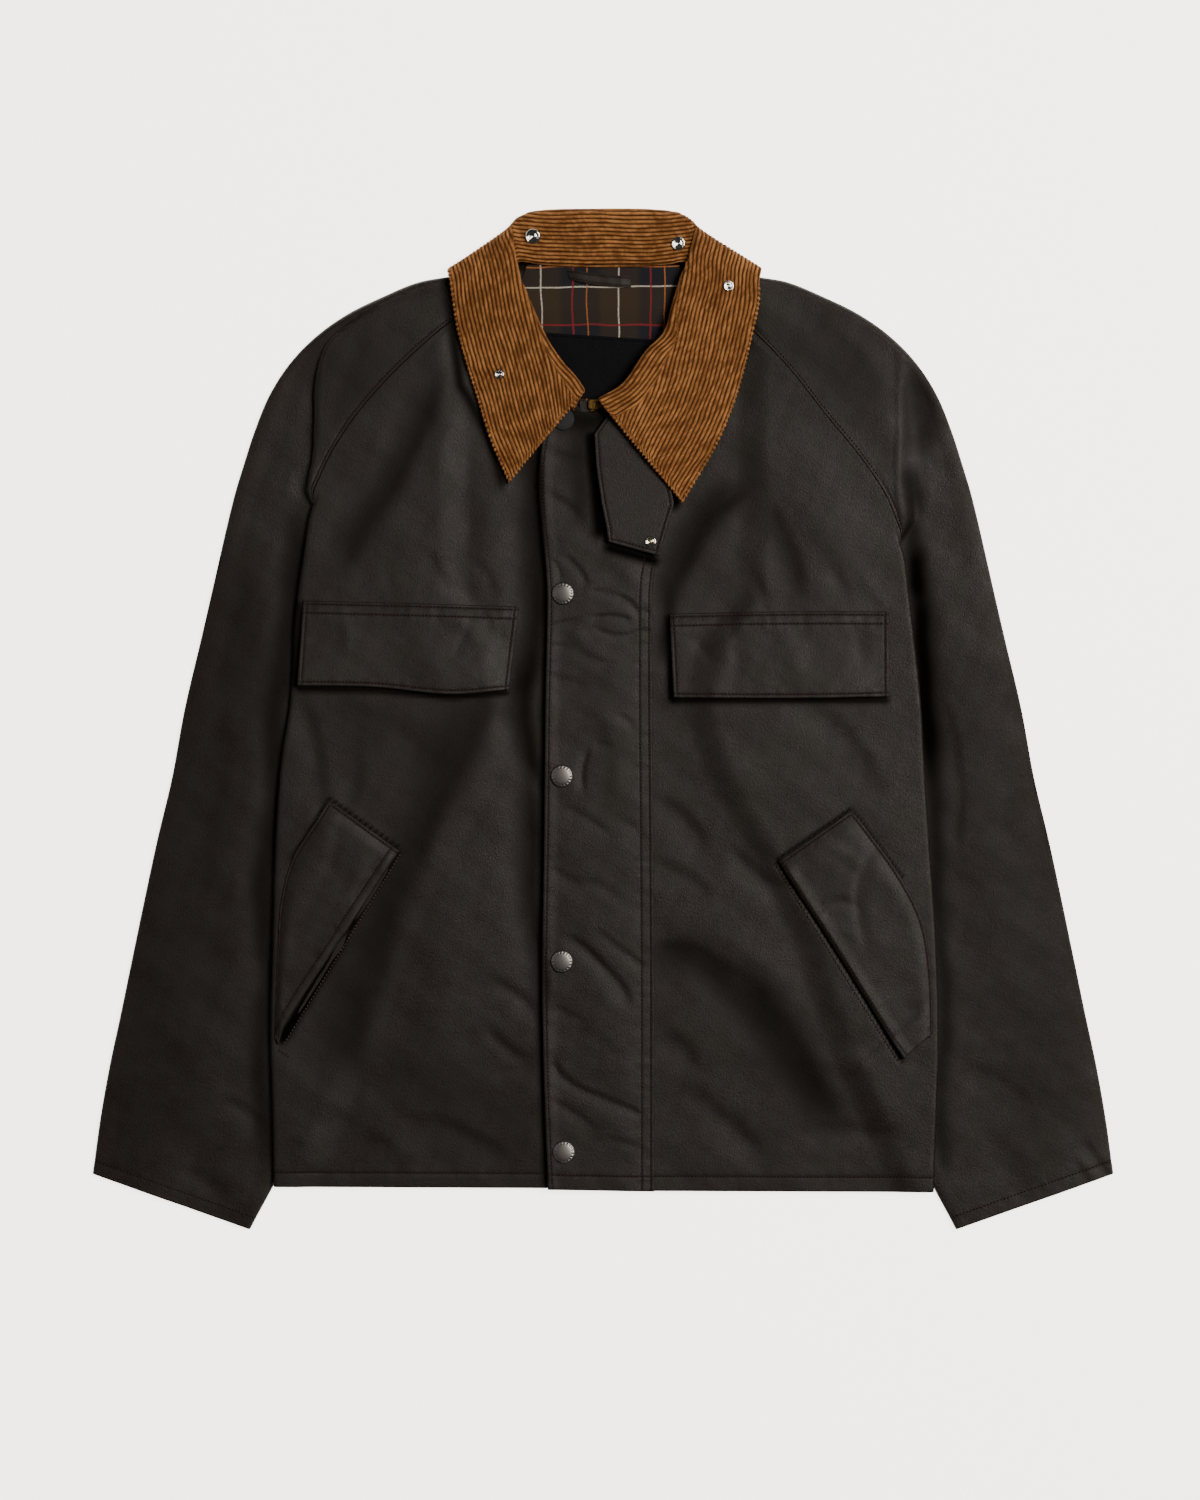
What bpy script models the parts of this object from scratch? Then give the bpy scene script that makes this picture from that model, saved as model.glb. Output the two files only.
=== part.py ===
"""Waxed cotton jacket, laid flat on its back with the sleeves beside the body.

Metres, +Z up, +Y towards the collar, +X towards the wearer's left.  The origin
is under the middle of the jacket.  The tables are in millimetres: "out" is the
distance from the middle line towards the side that the row belongs to.
"""
import math
from collections import namedtuple

import bmesh
import bpy
import numpy as np
from mathutils import Vector

MM = 0.001

# Cloth and clearances, in millimetres.
CLOTH = 1.8                # shell cloth with its backing
CORDUROY = 2.4             # collar, top and under collar together
LINING = 1.2
LABEL = 0.6
TAPE = 0.8
SEAM = 0.3                 # gap between pieces that are sewn together
PATCH_UP = CLOTH + 0.75    # from a panel's middle to a patch's, over the panel's facets

# Heights of the layers' middles, in millimetres.
FLOOR_LAYER = CLOTH / 2
SLEEVE_LIFT = 4.8          # how far two sleeve layers raise the body's back
COLLAR_LIFT = 2.8          # how far the fall raises the back at the neck
SIDE_TURN = 1.6            # radius of the body's side fold
SIDE_LEVEL = FLOOR_LAYER + SLEEVE_LIFT + 2 * SIDE_TURN
AIR_MIDDLE = 3.2           # between front and back along the middle line
PUFF = 1.3                 # how far the sleeve's upper layer stands up in the middle

# Where the body climbs onto the sleeves and the collar's fall.
CLIMB_START = 35.0         # how far in from the sleeve's inner fold it begins
CLIMB = 26.0               # how far it takes
CLIMB_END_Y = 134.0        # above this the back comes down to the armhole
CLIMB_END = 30.0
FALL_Y = 292.0             # lower end of the fall under the back
FALL_RUN = 18.0
FALL_OUT = 142.0           # the fall's reach to each side
FALL_OUT_RUN = 25.0

# Ends of the jacket.
HEM_Y = -351.0
NECK_Y = 344.0             # the back's neck edge, and how far out it ends
NECK_OUT = 64.0

# Folds of the sleeve and the fronts.
FOLD_LAP = 5.2             # the closed inner fold's lap on each side
FLAT_STEP = 0.4            # between the fold's columns where the seam is open
LEAD_SHARE = 0.45          # the crease's reach, as a share of its place in the row
LEAD_LEAST = 0.6
LEAD_MOST = 5.0
EDGE_RUN = 0.6             # flat cloth beside the outline's turn
CAP_GAP = 0.35             # the seam's gap grows by this share of the cap's drop
ARMPIT_IN = 9.0            # from the raglan seam's end to the armhole's first row
ARMPIT_DOWN = 22.0
FLAT_CURL = (6.0, 4.5, 3.0, 1.5, 0.0)   # a front's last columns where it isn't folded
CURL_END = 12.0            # reach round the side fold at which it is fully turned
CREASE_ENDS = 20.0         # over which a large crease dies away past its ends

# Collar.
ROLL_SHARE = 0.8           # the roll's reach, in millimetres and as a share of "half"
LEAF_DROOP = 1.5           # how late a leaf comes down to its edge
FALL_DROOP = 0.6           # the same for the fall under the back

# Throat tab.
TAB_LEVEL = 11.8           # middle of its root
TAB_RISE = 2.6             # how far its free end stands off
TAB_RISE_Y = 190.0
TAB_RISE_RUN = 60.0
TAB_DROOP = 0.6            # how much lower the side under the collar is

# Zip.
ZIP_X = -6.8
ZIP_TAPE_HALF = 11.0
ZIP_TOP_Y = 239.5
SLIDER_HALF = 4.2
SLIDER_LENGTH = 7.5
SLIDER_HEIGHT = 2.8
SLIDER_FOOT = 5.1
SLIDER_EDGE = 0.8

STUD_SINK = 0.45           # clearance under a stud on a curved face
LABEL_UP = 0.25            # more room over the lining's facets
LOOP_UP = 0.1

FRONT_ROWS = 17            # from the hem to the armpit
SEAM_ROWS = 10             # along a front raglan seam
ARMHOLE_ROWS = 4           # from the armpit to the underarm
TUBE_ROWS = 11             # from the underarm to the cuff
BACK_ROWS = 13             # from the hem to the underarm
FRONT_COLUMNS = 9
COLLAR_STEPS = 2           # stations between two of the collar table's rows

COLLECTION = "Waxed cotton jacket"

Colour = namedtuple("Colour", "red green blue roughness metallic")
SHELL = Colour(0.020, 0.016, 0.012, 0.55, 0.0)
SHELL_TRIM = Colour(0.023, 0.018, 0.014, 0.55, 0.0)
CORD = Colour(0.230, 0.105, 0.035, 0.90, 0.0)
CHECK = Colour(0.030, 0.027, 0.026, 0.85, 0.0)
SATIN = Colour(0.008, 0.008, 0.010, 0.45, 0.0)
GUNMETAL = Colour(0.120, 0.115, 0.110, 0.35, 1.0)
NICKEL = Colour(0.600, 0.590, 0.570, 0.25, 1.0)
BRASS = Colour(0.480, 0.330, 0.130, 0.35, 1.0)
DARK_TAPE = Colour(0.012, 0.010, 0.010, 0.80, 0.0)

# Fronts: the inner edge runs up the zip and round the neckline, the outer one
# up the side fold and the raglan seam.  "under" is how far the panel reaches
# round the side fold.
FrontRow = namedtuple("FrontRow", "inner inner_y outer outer_y under")
FRONT_RIGHT = (
    FrontRow(11.3, -351.2, 246.5, -350.0, 14.0),
    FrontRow(11.3, -293.6, 247.5, -293.6, 14.0),
    FrontRow(11.3, -244.0, 249.0, -244.0, 14.0),
    FrontRow(11.3, -169.0, 247.5, -169.0, 14.0),
    FrontRow(11.3, -95.0, 245.3, -95.0, 14.0),
    FrontRow(11.3, -32.5, 241.0, -32.5, 14.0),
    FrontRow(11.3, 15.0, 234.0, 15.0, 14.0),
    FrontRow(11.3, 60.0, 229.5, 85.0, 14.0),
    FrontRow(11.3, 104.0, 225.0, 117.0, 12.0),
    FrontRow(11.3, 142.0, 220.5, 149.0, 11.0),
    FrontRow(11.3, 172.0, 217.5, 171.0, 0.0),
)
FRONT_LEFT = (
    FrontRow(-2.3, -353.0, 247.5, -354.0, 14.0),
    FrontRow(-2.3, -293.6, 249.8, -293.6, 14.0),
    FrontRow(-2.3, -244.0, 251.3, -244.0, 14.0),
    FrontRow(-2.3, -169.0, 249.5, -169.0, 14.0),
    FrontRow(-2.3, -95.0, 244.5, -95.0, 14.0),
    FrontRow(-2.3, -32.5, 240.5, -32.5, 14.0),
    FrontRow(-2.3, 15.0, 237.8, 15.0, 14.0),
    FrontRow(-2.3, 55.0, 233.0, 60.0, 14.0),
    FrontRow(-2.3, 90.0, 229.0, 95.0, 13.0),
    FrontRow(-2.3, 118.0, 226.0, 120.0, 11.0),
    FrontRow(-2.3, 140.0, 223.5, 141.0, 0.0),
)

# Half of the back, from the hem up the side seam and the back raglan seam.
BackRow = namedtuple("BackRow", "outer y")
BACK = (
    BackRow(232.0, -350.5),
    BackRow(234.0, -244.0),
    BackRow(232.0, -169.0),
    BackRow(229.0, -95.0),
    BackRow(224.0, -32.5),
    BackRow(218.0, 30.0),
    BackRow(208.0, 72.0),
)

# Front raglan seams, from the neck to the armpit, and where the inner edge of
# the front lies on the same row: down the neckline and then down the zip.
SeamRow = namedtuple("SeamRow", "seam seam_y inner inner_y")
RAGLAN_RIGHT = (
    SeamRow(81.0, 320.5, 72.0, 317.0),
    SeamRow(94.0, 311.5, 67.5, 304.0),
    SeamRow(114.0, 298.0, 56.3, 277.0),
    SeamRow(139.5, 276.5, 37.5, 250.0),
    SeamRow(168.0, 248.0, 19.5, 236.0),
    SeamRow(190.0, 221.0, 12.8, 218.6),
    SeamRow(205.5, 196.0, 11.3, 195.0),
    SeamRow(217.0, 171.0, 11.3, 171.0),
)
RAGLAN_LEFT = (
    SeamRow(81.0, 319.5, 71.0, 316.0),
    SeamRow(93.0, 309.5, 66.0, 300.0),
    SeamRow(112.5, 291.0, 50.0, 270.0),
    SeamRow(142.5, 259.0, 30.0, 247.0),
    SeamRow(165.8, 229.0, 6.5, 228.0),
    SeamRow(191.3, 198.0, -1.3, 202.0),
    SeamRow(212.5, 166.0, -2.3, 170.0),
    SeamRow(222.5, 142.0, -2.3, 140.0),
)

# Back raglan seam, from the neck to the underarm.
BackSeam = namedtuple("BackSeam", "out y")
BACK_RAGLAN = (
    BackSeam(73.0, 332.0),
    BackSeam(88.0, 290.0),
    BackSeam(102.0, 240.0),
    BackSeam(114.0, 180.0),
    BackSeam(124.0, 135.0),
    BackSeam(134.0, 95.0),
)

# Upper sleeve, on rows that start at the front raglan seam: the outline, how
# far along the row the crease lies, its height, how far the cloth is tucked
# under it and how far it steps down.
CapRow = namedtuple("CapRow", "edge edge_y crease tuck step level drop")
CAP = (
    CapRow(83.0, 340.0, 9.0, -4.0, 0.6, 8.9, 0.0),
    CapRow(101.0, 333.5, 13.0, -6.0, 0.6, 8.9, 0.0),
    CapRow(124.0, 331.5, 20.0, -7.0, 0.6, 8.9, 0.0),
    CapRow(158.0, 319.5, 32.0, -7.0, 0.8, 8.9, 0.0),
    CapRow(196.0, 300.8, 46.0, -5.0, 1.2, 8.9, 0.0),
    CapRow(228.0, 274.8, 40.5, 2.0, 4.8, 8.9, 0.0),
    CapRow(251.0, 241.3, 15.0, 5.0, 5.4, 8.9, 0.0),
    CapRow(263.0, 211.0, 7.0, 3.0, 5.3, 8.8, 0.2),
    CapRow(270.0, 189.0, 4.4, 0.4, 3.1, 6.6, 2.3),
)

# The crease beside the body: how far before or past its place, as a share of
# its reach, then shares of the tuck and of the step down.
CreaseStep = namedtuple("CreaseStep", "ahead shift drop")
CREASE = (
    CreaseStep(-1.0, 0.0, 0.0),
    CreaseStep(-0.25, 0.0, 0.06),
    CreaseStep(0.0, 0.0, 0.26),
    CreaseStep(-0.2, 0.35, 0.47),
    CreaseStep(0.0, 0.65, 0.53),
    CreaseStep(0.0, 1.0, 0.74),
    CreaseStep(0.2, 1.0, 0.94),
    CreaseStep(1.0, 1.0, 1.0),
)

# Lower sleeve: its inner fold under the body, the outline, and the place of
# the crease, which dies away.  "closed" runs from the open armhole to the tube.
TubeRow = namedtuple("TubeRow", "fold fold_y edge edge_y crease tuck step level closed")
TUBE = (
    TubeRow(208.0, 149.0, 275.5, 171.0, 8.0, -2.0, 0.4, 3.8, 0.0),
    TubeRow(170.0, 112.0, 281.5, 147.0, 44.0, -8.0, 0.0, 3.5, 0.0),
    TubeRow(134.0, 95.0, 289.5, 112.0, 74.0, -12.0, 0.0, 3.5, 0.4),
    TubeRow(104.0, 55.0, 300.0, 66.0, 100.0, -12.0, 0.0, 3.5, 1.0),
    TubeRow(94.0, 10.0, 312.0, 16.0, 112.0, -12.0, 0.0, 3.5, 1.0),
    TubeRow(108.0, -40.0, 321.5, -36.0, 106.0, -12.0, 0.0, 3.5, 1.0),
    TubeRow(144.0, -100.0, 335.5, -96.0, 80.0, -12.0, 0.0, 3.5, 1.0),
    TubeRow(176.0, -170.0, 349.0, -160.0, 60.0, -12.0, 0.0, 3.5, 1.0),
    TubeRow(197.0, -235.0, 361.0, -218.0, 46.0, -12.0, 0.0, 3.5, 1.0),
    TubeRow(223.0, -295.0, 371.5, -268.0, 36.0, -12.0, 0.0, 3.5, 1.0),
    TubeRow(247.0, -348.0, 378.0, -307.0, 30.0, -12.0, 0.0, 3.5, 1.0),
    TubeRow(265.5, -382.0, 382.5, -340.5, 28.0, -12.0, 0.0, 3.5, 1.0),
)
INNER_FOLD_Y = tuple(row.fold_y for row in TUBE[:1:-1])
INNER_FOLD_OUT = tuple(row.fold for row in TUBE[:1:-1])

# Collar stations, from the wearer's right leaf round the back to the left one:
# neck seam, roll line and outer edge.  "half" is half the height from the
# stand up to the fall, which is below the stand at the back.
CollarRow = namedtuple(
    "CollarRow", "seam_x seam_y seam_z roll_x roll_y roll_z edge_x edge_y edge_z half")
COLLAR = (
    CollarRow(-22.0, 231.0, 11.3, -14.3, 244.8, 13.6, -70.5, 177.5, 9.7, 1.8),
    CollarRow(-34.0, 240.0, 11.3, -21.5, 255.5, 13.5, -85.0, 211.5, 9.5, 1.8),
    CollarRow(-49.0, 254.0, 11.0, -32.5, 268.0, 13.3, -94.5, 242.0, 9.4, 1.8),
    CollarRow(-61.5, 275.0, 11.0, -44.0, 286.0, 13.2, -102.5, 267.5, 9.8, 1.7),
    CollarRow(-71.5, 301.0, 11.4, -55.0, 311.0, 13.4, -109.0, 292.0, 11.2, 1.6),
    CollarRow(-73.0, 325.0, 11.6, -63.5, 333.5, 13.2, -112.5, 314.0, 11.8, 1.5),
    CollarRow(-68.5, 338.0, 10.4, -67.8, 353.0, 12.4, -114.5, 329.5, 12.0, 1.0),
    CollarRow(-63.0, 342.0, 9.2, -68.6, 366.0, 9.6, -115.8, 336.8, 6.8, 0.0),
    CollarRow(-58.5, 342.0, 8.4, -67.0, 370.3, 6.4, -108.5, 334.5, 1.2, -2.2),
    CollarRow(-50.0, 340.6, 7.8, -58.0, 377.2, 5.6, -84.0, 317.0, 1.2, -3.4),
    CollarRow(-33.0, 339.2, 7.8, -43.5, 380.2, 5.4, -47.0, 312.5, 1.2, -4.0),
    CollarRow(0.0, 338.4, 7.8, 0.0, 381.0, 5.4, 0.0, 312.0, 1.2, -4.1),
    CollarRow(33.0, 339.2, 7.8, 43.5, 380.2, 5.4, 47.0, 312.5, 1.2, -4.0),
    CollarRow(50.0, 340.6, 7.8, 59.0, 377.0, 5.6, 84.0, 317.0, 1.2, -3.4),
    CollarRow(58.5, 342.0, 8.4, 68.0, 369.8, 6.4, 109.5, 334.0, 1.2, -2.2),
    CollarRow(63.0, 342.0, 9.2, 69.6, 365.8, 9.6, 118.2, 337.6, 6.8, 0.0),
    CollarRow(68.0, 338.0, 10.4, 66.8, 352.0, 12.4, 117.0, 328.5, 12.0, 1.0),
    CollarRow(72.0, 325.0, 11.6, 60.0, 333.0, 13.2, 116.5, 311.5, 11.8, 1.5),
    CollarRow(69.0, 303.0, 11.6, 53.0, 310.5, 13.7, 113.0, 294.5, 11.2, 1.6),
    CollarRow(60.5, 280.0, 12.0, 47.0, 289.5, 14.2, 108.0, 273.0, 10.2, 1.7),
    CollarRow(47.5, 262.5, 12.8, 33.5, 275.0, 15.0, 102.0, 250.0, 10.2, 1.8),
    CollarRow(30.5, 246.5, 14.0, 18.5, 253.0, 16.0, 89.5, 215.5, 11.2, 1.8),
    CollarRow(12.5, 229.5, 14.6, -3.4, 238.0, 16.5, 59.3, 162.0, 13.9, 1.8),
)

# Patches: two long edges, row by row, as x and y.
PatchRow = namedtuple("PatchRow", "ax ay bx by")
PLACKET = (
    PatchRow(-41.3, -352.0, 38.3, -353.5),
    PatchRow(-44.3, -281.0, 38.3, -281.0),
    PatchRow(-45.8, -210.0, 38.3, -210.0),
    PatchRow(-44.3, -75.0, 37.5, -75.0),
    PatchRow(-43.5, 15.0, 36.8, 15.0),
    PatchRow(-42.0, 90.0, 36.8, 90.0),
    PatchRow(-45.8, 207.0, 36.8, 204.0),
    PatchRow(-40.0, 231.0, 20.0, 229.0),
)
CHEST_FLAP_RIGHT = (
    PatchRow(-224.3, 88.9, -228.3, 25.1),
    PatchRow(-170.0, 87.6, -172.0, 24.0),
    PatchRow(-110.0, 86.0, -112.0, 18.6),
    PatchRow(-63.0, 84.4, -70.5, 22.1),
)
CHEST_FLAP_LEFT = (
    PatchRow(49.5, 79.1, 52.5, 16.1),
    PatchRow(110.0, 80.4, 112.0, 15.6),
    PatchRow(165.0, 80.8, 166.0, 15.8),
    PatchRow(213.8, 80.6, 213.8, 16.9),
)
HAND_POCKET_RIGHT = (
    PatchRow(-204.8, -60.4, -152.3, -98.6),
    PatchRow(-216.8, -79.1, -165.0, -118.9),
    PatchRow(-232.5, -104.6, -183.8, -148.9),
    PatchRow(-240.5, -133.9, -202.5, -178.9),
    PatchRow(-243.0, -169.0, -221.3, -208.9),
    PatchRow(-244.5, -210.0, -235.5, -231.4),
    PatchRow(-245.3, -239.0, -242.0, -243.5),
)
HAND_POCKET_LEFT = (
    PatchRow(186.0, -67.9, 131.3, -106.1),
    PatchRow(201.0, -87.4, 150.0, -136.0),
    PatchRow(223.5, -119.6, 172.0, -170.0),
    PatchRow(238.0, -148.9, 190.0, -199.0),
    PatchRow(244.6, -185.0, 207.0, -226.0),
    PatchRow(246.3, -215.0, 218.0, -243.5),
    PatchRow(246.6, -234.4, 225.0, -253.5),
)
THROAT_TAB = (
    PatchRow(8.3, 233.6, 23.3, 236.6),
    PatchRow(-6.8, 213.4, 35.3, 216.0),
    PatchRow(-5.3, 189.4, 47.3, 190.9),
    PatchRow(-1.5, 162.4, 53.3, 160.9),
    PatchRow(2.3, 143.6, 48.8, 146.6),
    PatchRow(3.8, 132.4, 42.0, 121.9),
)
NECK_LINING = (
    PatchRow(-57.0, 340.5, 57.0, 340.5),
    PatchRow(-66.0, 314.0, 66.0, 314.0),
    PatchRow(-56.0, 284.6, 56.0, 284.6),
    PatchRow(-37.0, 254.6, 36.0, 254.6),
    PatchRow(-20.0, 230.6, 20.0, 230.6),
)
NECK_LABEL = (
    PatchRow(-45.8, 290.0, 37.5, 284.6),
    PatchRow(-45.0, 264.0, 36.5, 262.0),
    PatchRow(-44.5, 240.5, 36.0, 240.5),
)
HANG_LOOP = (
    PatchRow(-27.0, 336.4, -24.5, 329.0),
    PatchRow(-12.0, 334.6, -10.5, 326.0),
    PatchRow(5.0, 332.5, 5.5, 324.0),
    PatchRow(20.8, 331.8, 21.0, 323.0),
)
ZIP_TAPE = tuple(
    PatchRow(ZIP_X - ZIP_TAPE_HALF, y, ZIP_X + ZIP_TAPE_HALF, y)
    for y in (HEM_Y + 2.0, -150.0, 50.0, ZIP_TOP_Y - 0.5))

# Creases that carry the largest form: from one end to the other, how wide and
# how high.
Fold = namedtuple("Fold", "x y to_x to_y width height")
FOLDS = (
    Fold(-130.0, 247.0, -190.0, 130.0, 28.0, 1.2),
    Fold(-95.0, -10.0, -190.0, -250.0, 36.0, 1.4),
    Fold(95.0, 175.0, 68.0, 120.0, 26.0, 1.0),
    Fold(70.0, -185.0, 165.0, -290.0, 32.0, 1.3),
    Fold(-70.0, 190.0, -66.0, 135.0, 20.0, 0.7),
)

# Press fasteners: place, radius and height.
Fastener = namedtuple("Fastener", "name x y radius height")
PLACKET_SNAPS = (
    Fastener("placket_snap_1", -30.0, 224.6, 8.6, 2.6),
    Fastener("placket_snap_2", -30.0, 94.1, 8.6, 3.2),
    Fastener("placket_snap_3", -30.8, -42.4, 8.6, 3.2),
    Fastener("placket_snap_4", -30.8, -181.1, 8.6, 3.2),
    Fastener("placket_snap_5", -29.3, -323.6, 8.6, 3.2),
)
COLLAR_STUDS = (
    Fastener("collar_stud_1", -77.3, 257.6, 3.8, 1.6),
    Fastener("collar_stud_2", -52.5, 361.1, 5.9, 1.8),
    Fastener("collar_stud_3", 56.3, 355.9, 5.4, 1.8),
    Fastener("collar_stud_4", 93.8, 323.6, 4.1, 1.6),
)
TAB_STUD = Fastener("tab_stud", 35.6, 132.8, 4.3, 1.8)


def smooth(value):
    """Rise from 0 to 1 with level ends."""
    value = np.clip(value, 0.0, 1.0)
    return value * value * (3.0 - 2.0 * value)


def spread(rows, count, path=(0, 1)):
    """Read a table at even steps along the path of two of its columns."""
    table = np.array([tuple(row) for row in rows], dtype=float)
    step = np.diff(table[:, list(path)], axis=0)
    length = np.concatenate([[0.0], np.cumsum(np.hypot(step[:, 0], step[:, 1]))])
    tangent = np.gradient(table, length, axis=0)
    out = []
    for along in np.linspace(0.0, length[-1], count):
        i = min(int(np.searchsorted(length, along, side="right")) - 1, len(rows) - 2)
        span = length[i + 1] - length[i]
        t = (along - length[i]) / span
        start = table[i] * (1 + 2 * t) + tangent[i] * span * t
        end = table[i + 1] * (3 - 2 * t) - tangent[i + 1] * span * (1 - t)
        out.append(start * (1 - t) ** 2 + end * t**2)
    return [type(rows[0])(*row) for row in out]


def inner_fold(y):
    """Where the sleeve's inner fold lies under the body, by height on the jacket."""
    return np.interp(y, INNER_FOLD_Y, INNER_FOLD_OUT)


def over_sleeve(x, y):
    """Rise from 0 to 1 where the body climbs onto the sleeve."""
    return smooth((np.abs(x) - inner_fold(y) + CLIMB_START) / CLIMB)


def neck_ground(x, y):
    """How far the collar's fall raises what lies on it."""
    across = smooth((FALL_OUT - np.abs(x)) / FALL_OUT_RUN)
    return COLLAR_LIFT * smooth((y - FALL_Y) / FALL_RUN) * across


def back_z(x, y):
    """Middle of the back panel: on the floor, and on the sleeves at the sides."""
    climb = over_sleeve(x, y) * smooth((CLIMB_END_Y - y) / CLIMB_END)
    return FLOOR_LAYER + neck_ground(x, y) + SLEEVE_LIFT * climb


def crease_rise(x, y):
    """Height of the large creases at a point."""
    rise = 0.0
    for fold in FOLDS:
        run = np.array([fold.to_x - fold.x, fold.to_y - fold.y])
        length = np.hypot(*run)
        run = run / length
        along = (x - fold.x) * run[0] + (y - fold.y) * run[1]
        across = (y - fold.y) * run[0] - (x - fold.x) * run[1]
        begun = smooth((along + CREASE_ENDS) / (2 * CREASE_ENDS))
        ends = begun * smooth((length + CREASE_ENDS - along) / (2 * CREASE_ENDS))
        rise = rise + fold.height * ends * np.exp(-(across / fold.width) ** 2)
    return rise


def front_z(x, y):
    """Middle of a front panel: on the back, with the air of a laid jacket."""
    middle = FLOOR_LAYER + neck_ground(x, y) + CLOTH + AIR_MIDDLE
    share = over_sleeve(x, y)
    return middle + (SIDE_LEVEL - middle) * share + crease_rise(x, y) * (1.0 - share)


def new_object(name, mesh, colour):
    """Put a mesh in the jacket's collection, with a material of its own."""
    material = bpy.data.materials.new(name)
    material.use_nodes = True
    shader = material.node_tree.nodes["Principled BSDF"]
    shader.inputs["Base Color"].default_value = (colour.red, colour.green, colour.blue, 1.0)
    shader.inputs["Roughness"].default_value = colour.roughness
    shader.inputs["Metallic"].default_value = colour.metallic
    mesh.materials.append(material)
    item = bpy.data.objects.new(name, mesh)
    bpy.data.collections[COLLECTION].objects.link(item)
    return item


def cloth(name, grid, thickness, colour, flip=False):
    """Make a grid of points, given in millimetres, into a wall of cloth."""
    rows, columns, _ = grid.shape
    mesh = bpy.data.meshes.new(name)
    corner = np.arange(rows * columns).reshape(rows, columns)
    faces = np.stack([corner[:-1, :-1], corner[:-1, 1:], corner[1:, 1:], corner[1:, :-1]], -1)
    faces = faces.reshape(-1, 4)
    if flip:
        faces = faces[:, ::-1]
    mesh.from_pydata((grid.reshape(-1, 3) * MM).tolist(), [], faces.tolist())
    mesh.shade_smooth()
    item = new_object(name, mesh, colour)
    wall = item.modifiers.new("Wall", "SOLIDIFY")
    wall.thickness = thickness * MM
    wall.offset = 0.0
    wall.use_even_offset = False
    wall.use_quality_normals = True
    return item


def patch(name, rows, columns, steps, lift, colour, thickness=CLOTH, under=front_z):
    """A piece that lies on a panel: made from the panel's height, moved out."""
    table = np.array([tuple(row) for row in spread(rows, steps)])
    across = np.linspace(0.0, 1.0, columns)[None, :]
    x = table[:, 0:1] * (1 - across) + table[:, 2:3] * across
    y = table[:, 1:2] * (1 - across) + table[:, 3:4] * across
    return cloth(name, np.stack([x, y, under(x, y) + lift], -1), thickness, colour)


def side_curl(row):
    """Steps round the side fold: how far in from the outline, and how far down."""
    r = SIDE_TURN
    tail = row.under - math.pi * r
    turn = ((r, 0.0), (0.3 * r, 0.3 * r), (0.0, r), (0.3 * r, 1.7 * r), (r + tail, 2 * r))
    share = smooth(row.under / CURL_END)
    return [
        (back_in * share + flat * (1 - share), drop * share)
        for (back_in, drop), flat in zip(turn, FLAT_CURL)]


def front_columns(inner, outer, flat):
    """Where a row's columns lie: close together where it climbs onto the sleeve."""
    foot = float(inner_fold((inner[1] + outer[1]) / 2)) - CLIMB_START
    start = foot - abs(inner[0])
    last = start + CLIMB
    if start < CLIMB or last + CLIMB > flat:
        return np.linspace(0.0, flat, FRONT_COLUMNS)
    return np.array([
        0.0, start / 3, start * 2 / 3, start, start + CLIMB / 3, start + CLIMB * 2 / 3,
        last, (last + flat) / 2, flat])


def front_line(inner, outer, curl):
    """One row of a front: across the panel, then round its side fold."""
    heading = (outer - inner) / np.hypot(*(outer - inner))
    width = np.hypot(*(outer - inner))
    flat = width - curl[0][0]
    points = []
    for along in front_columns(inner, outer, flat)[:-1]:
        at = inner + heading * along
        points.append((at[0], at[1], float(front_z(at[0], at[1]))))
    turn = inner + heading * flat
    top = float(front_z(turn[0], turn[1]))
    for back_in, drop in curl:
        at = outer - heading * back_in
        points.append((at[0], at[1], top - drop))
    return points


def make_front(name, rows, raglan, side):
    """A front: up the side fold and the raglan seam, and up the zip and the neckline."""
    lines = []
    for row in spread(rows, FRONT_ROWS, (2, 3)):
        inner = np.array([side * row.inner, row.inner_y])
        outer = np.array([side * (row.outer - CLOTH / 2), row.outer_y])
        lines.append(front_line(inner, outer, side_curl(row)))
    for row in spread(raglan, SEAM_ROWS)[-2::-1]:
        inner = np.array([side * row.inner, row.inner_y])
        outer = np.array([side * row.seam, row.seam_y])
        away = (outer - inner) / np.hypot(*(outer - inner))
        lines.append(front_line(inner, outer - away * SEAM, side_curl(rows[-1])))
    return cloth(name, np.array(lines), CLOTH, SHELL, flip=side < 0)


def make_back():
    """The back, in one piece from side seam to side seam and up to the neck."""
    upper = spread(BACK_RAGLAN, SEAM_ROWS + ARMHOLE_ROWS)[::-1]
    outline = [(row.outer, row.y) for row in spread(BACK, BACK_ROWS)]
    outline += [(row.out - SEAM, row.y) for row in upper]
    outline.append((NECK_OUT, NECK_Y))
    x = []
    for outer, y in outline:
        # Columns close together where the back climbs onto the sleeve.
        foot = min(float(inner_fold(y)) - CLIMB_START, outer - CLIMB * 1.5)
        top = foot + CLIMB
        half = [foot / 3, foot * 2 / 3, foot, foot + CLIMB / 3, foot + CLIMB * 2 / 3, top]
        half += [(top + outer) / 2, outer]
        x.append([-at for at in half[::-1]] + [0.0] + half)
    x = np.array(x)
    y = np.array([row[1] for row in outline])[:, None] + np.zeros_like(x)
    return cloth("back", np.stack([x, y, back_z(x, y)], -1), CLOTH, SHELL)


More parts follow.
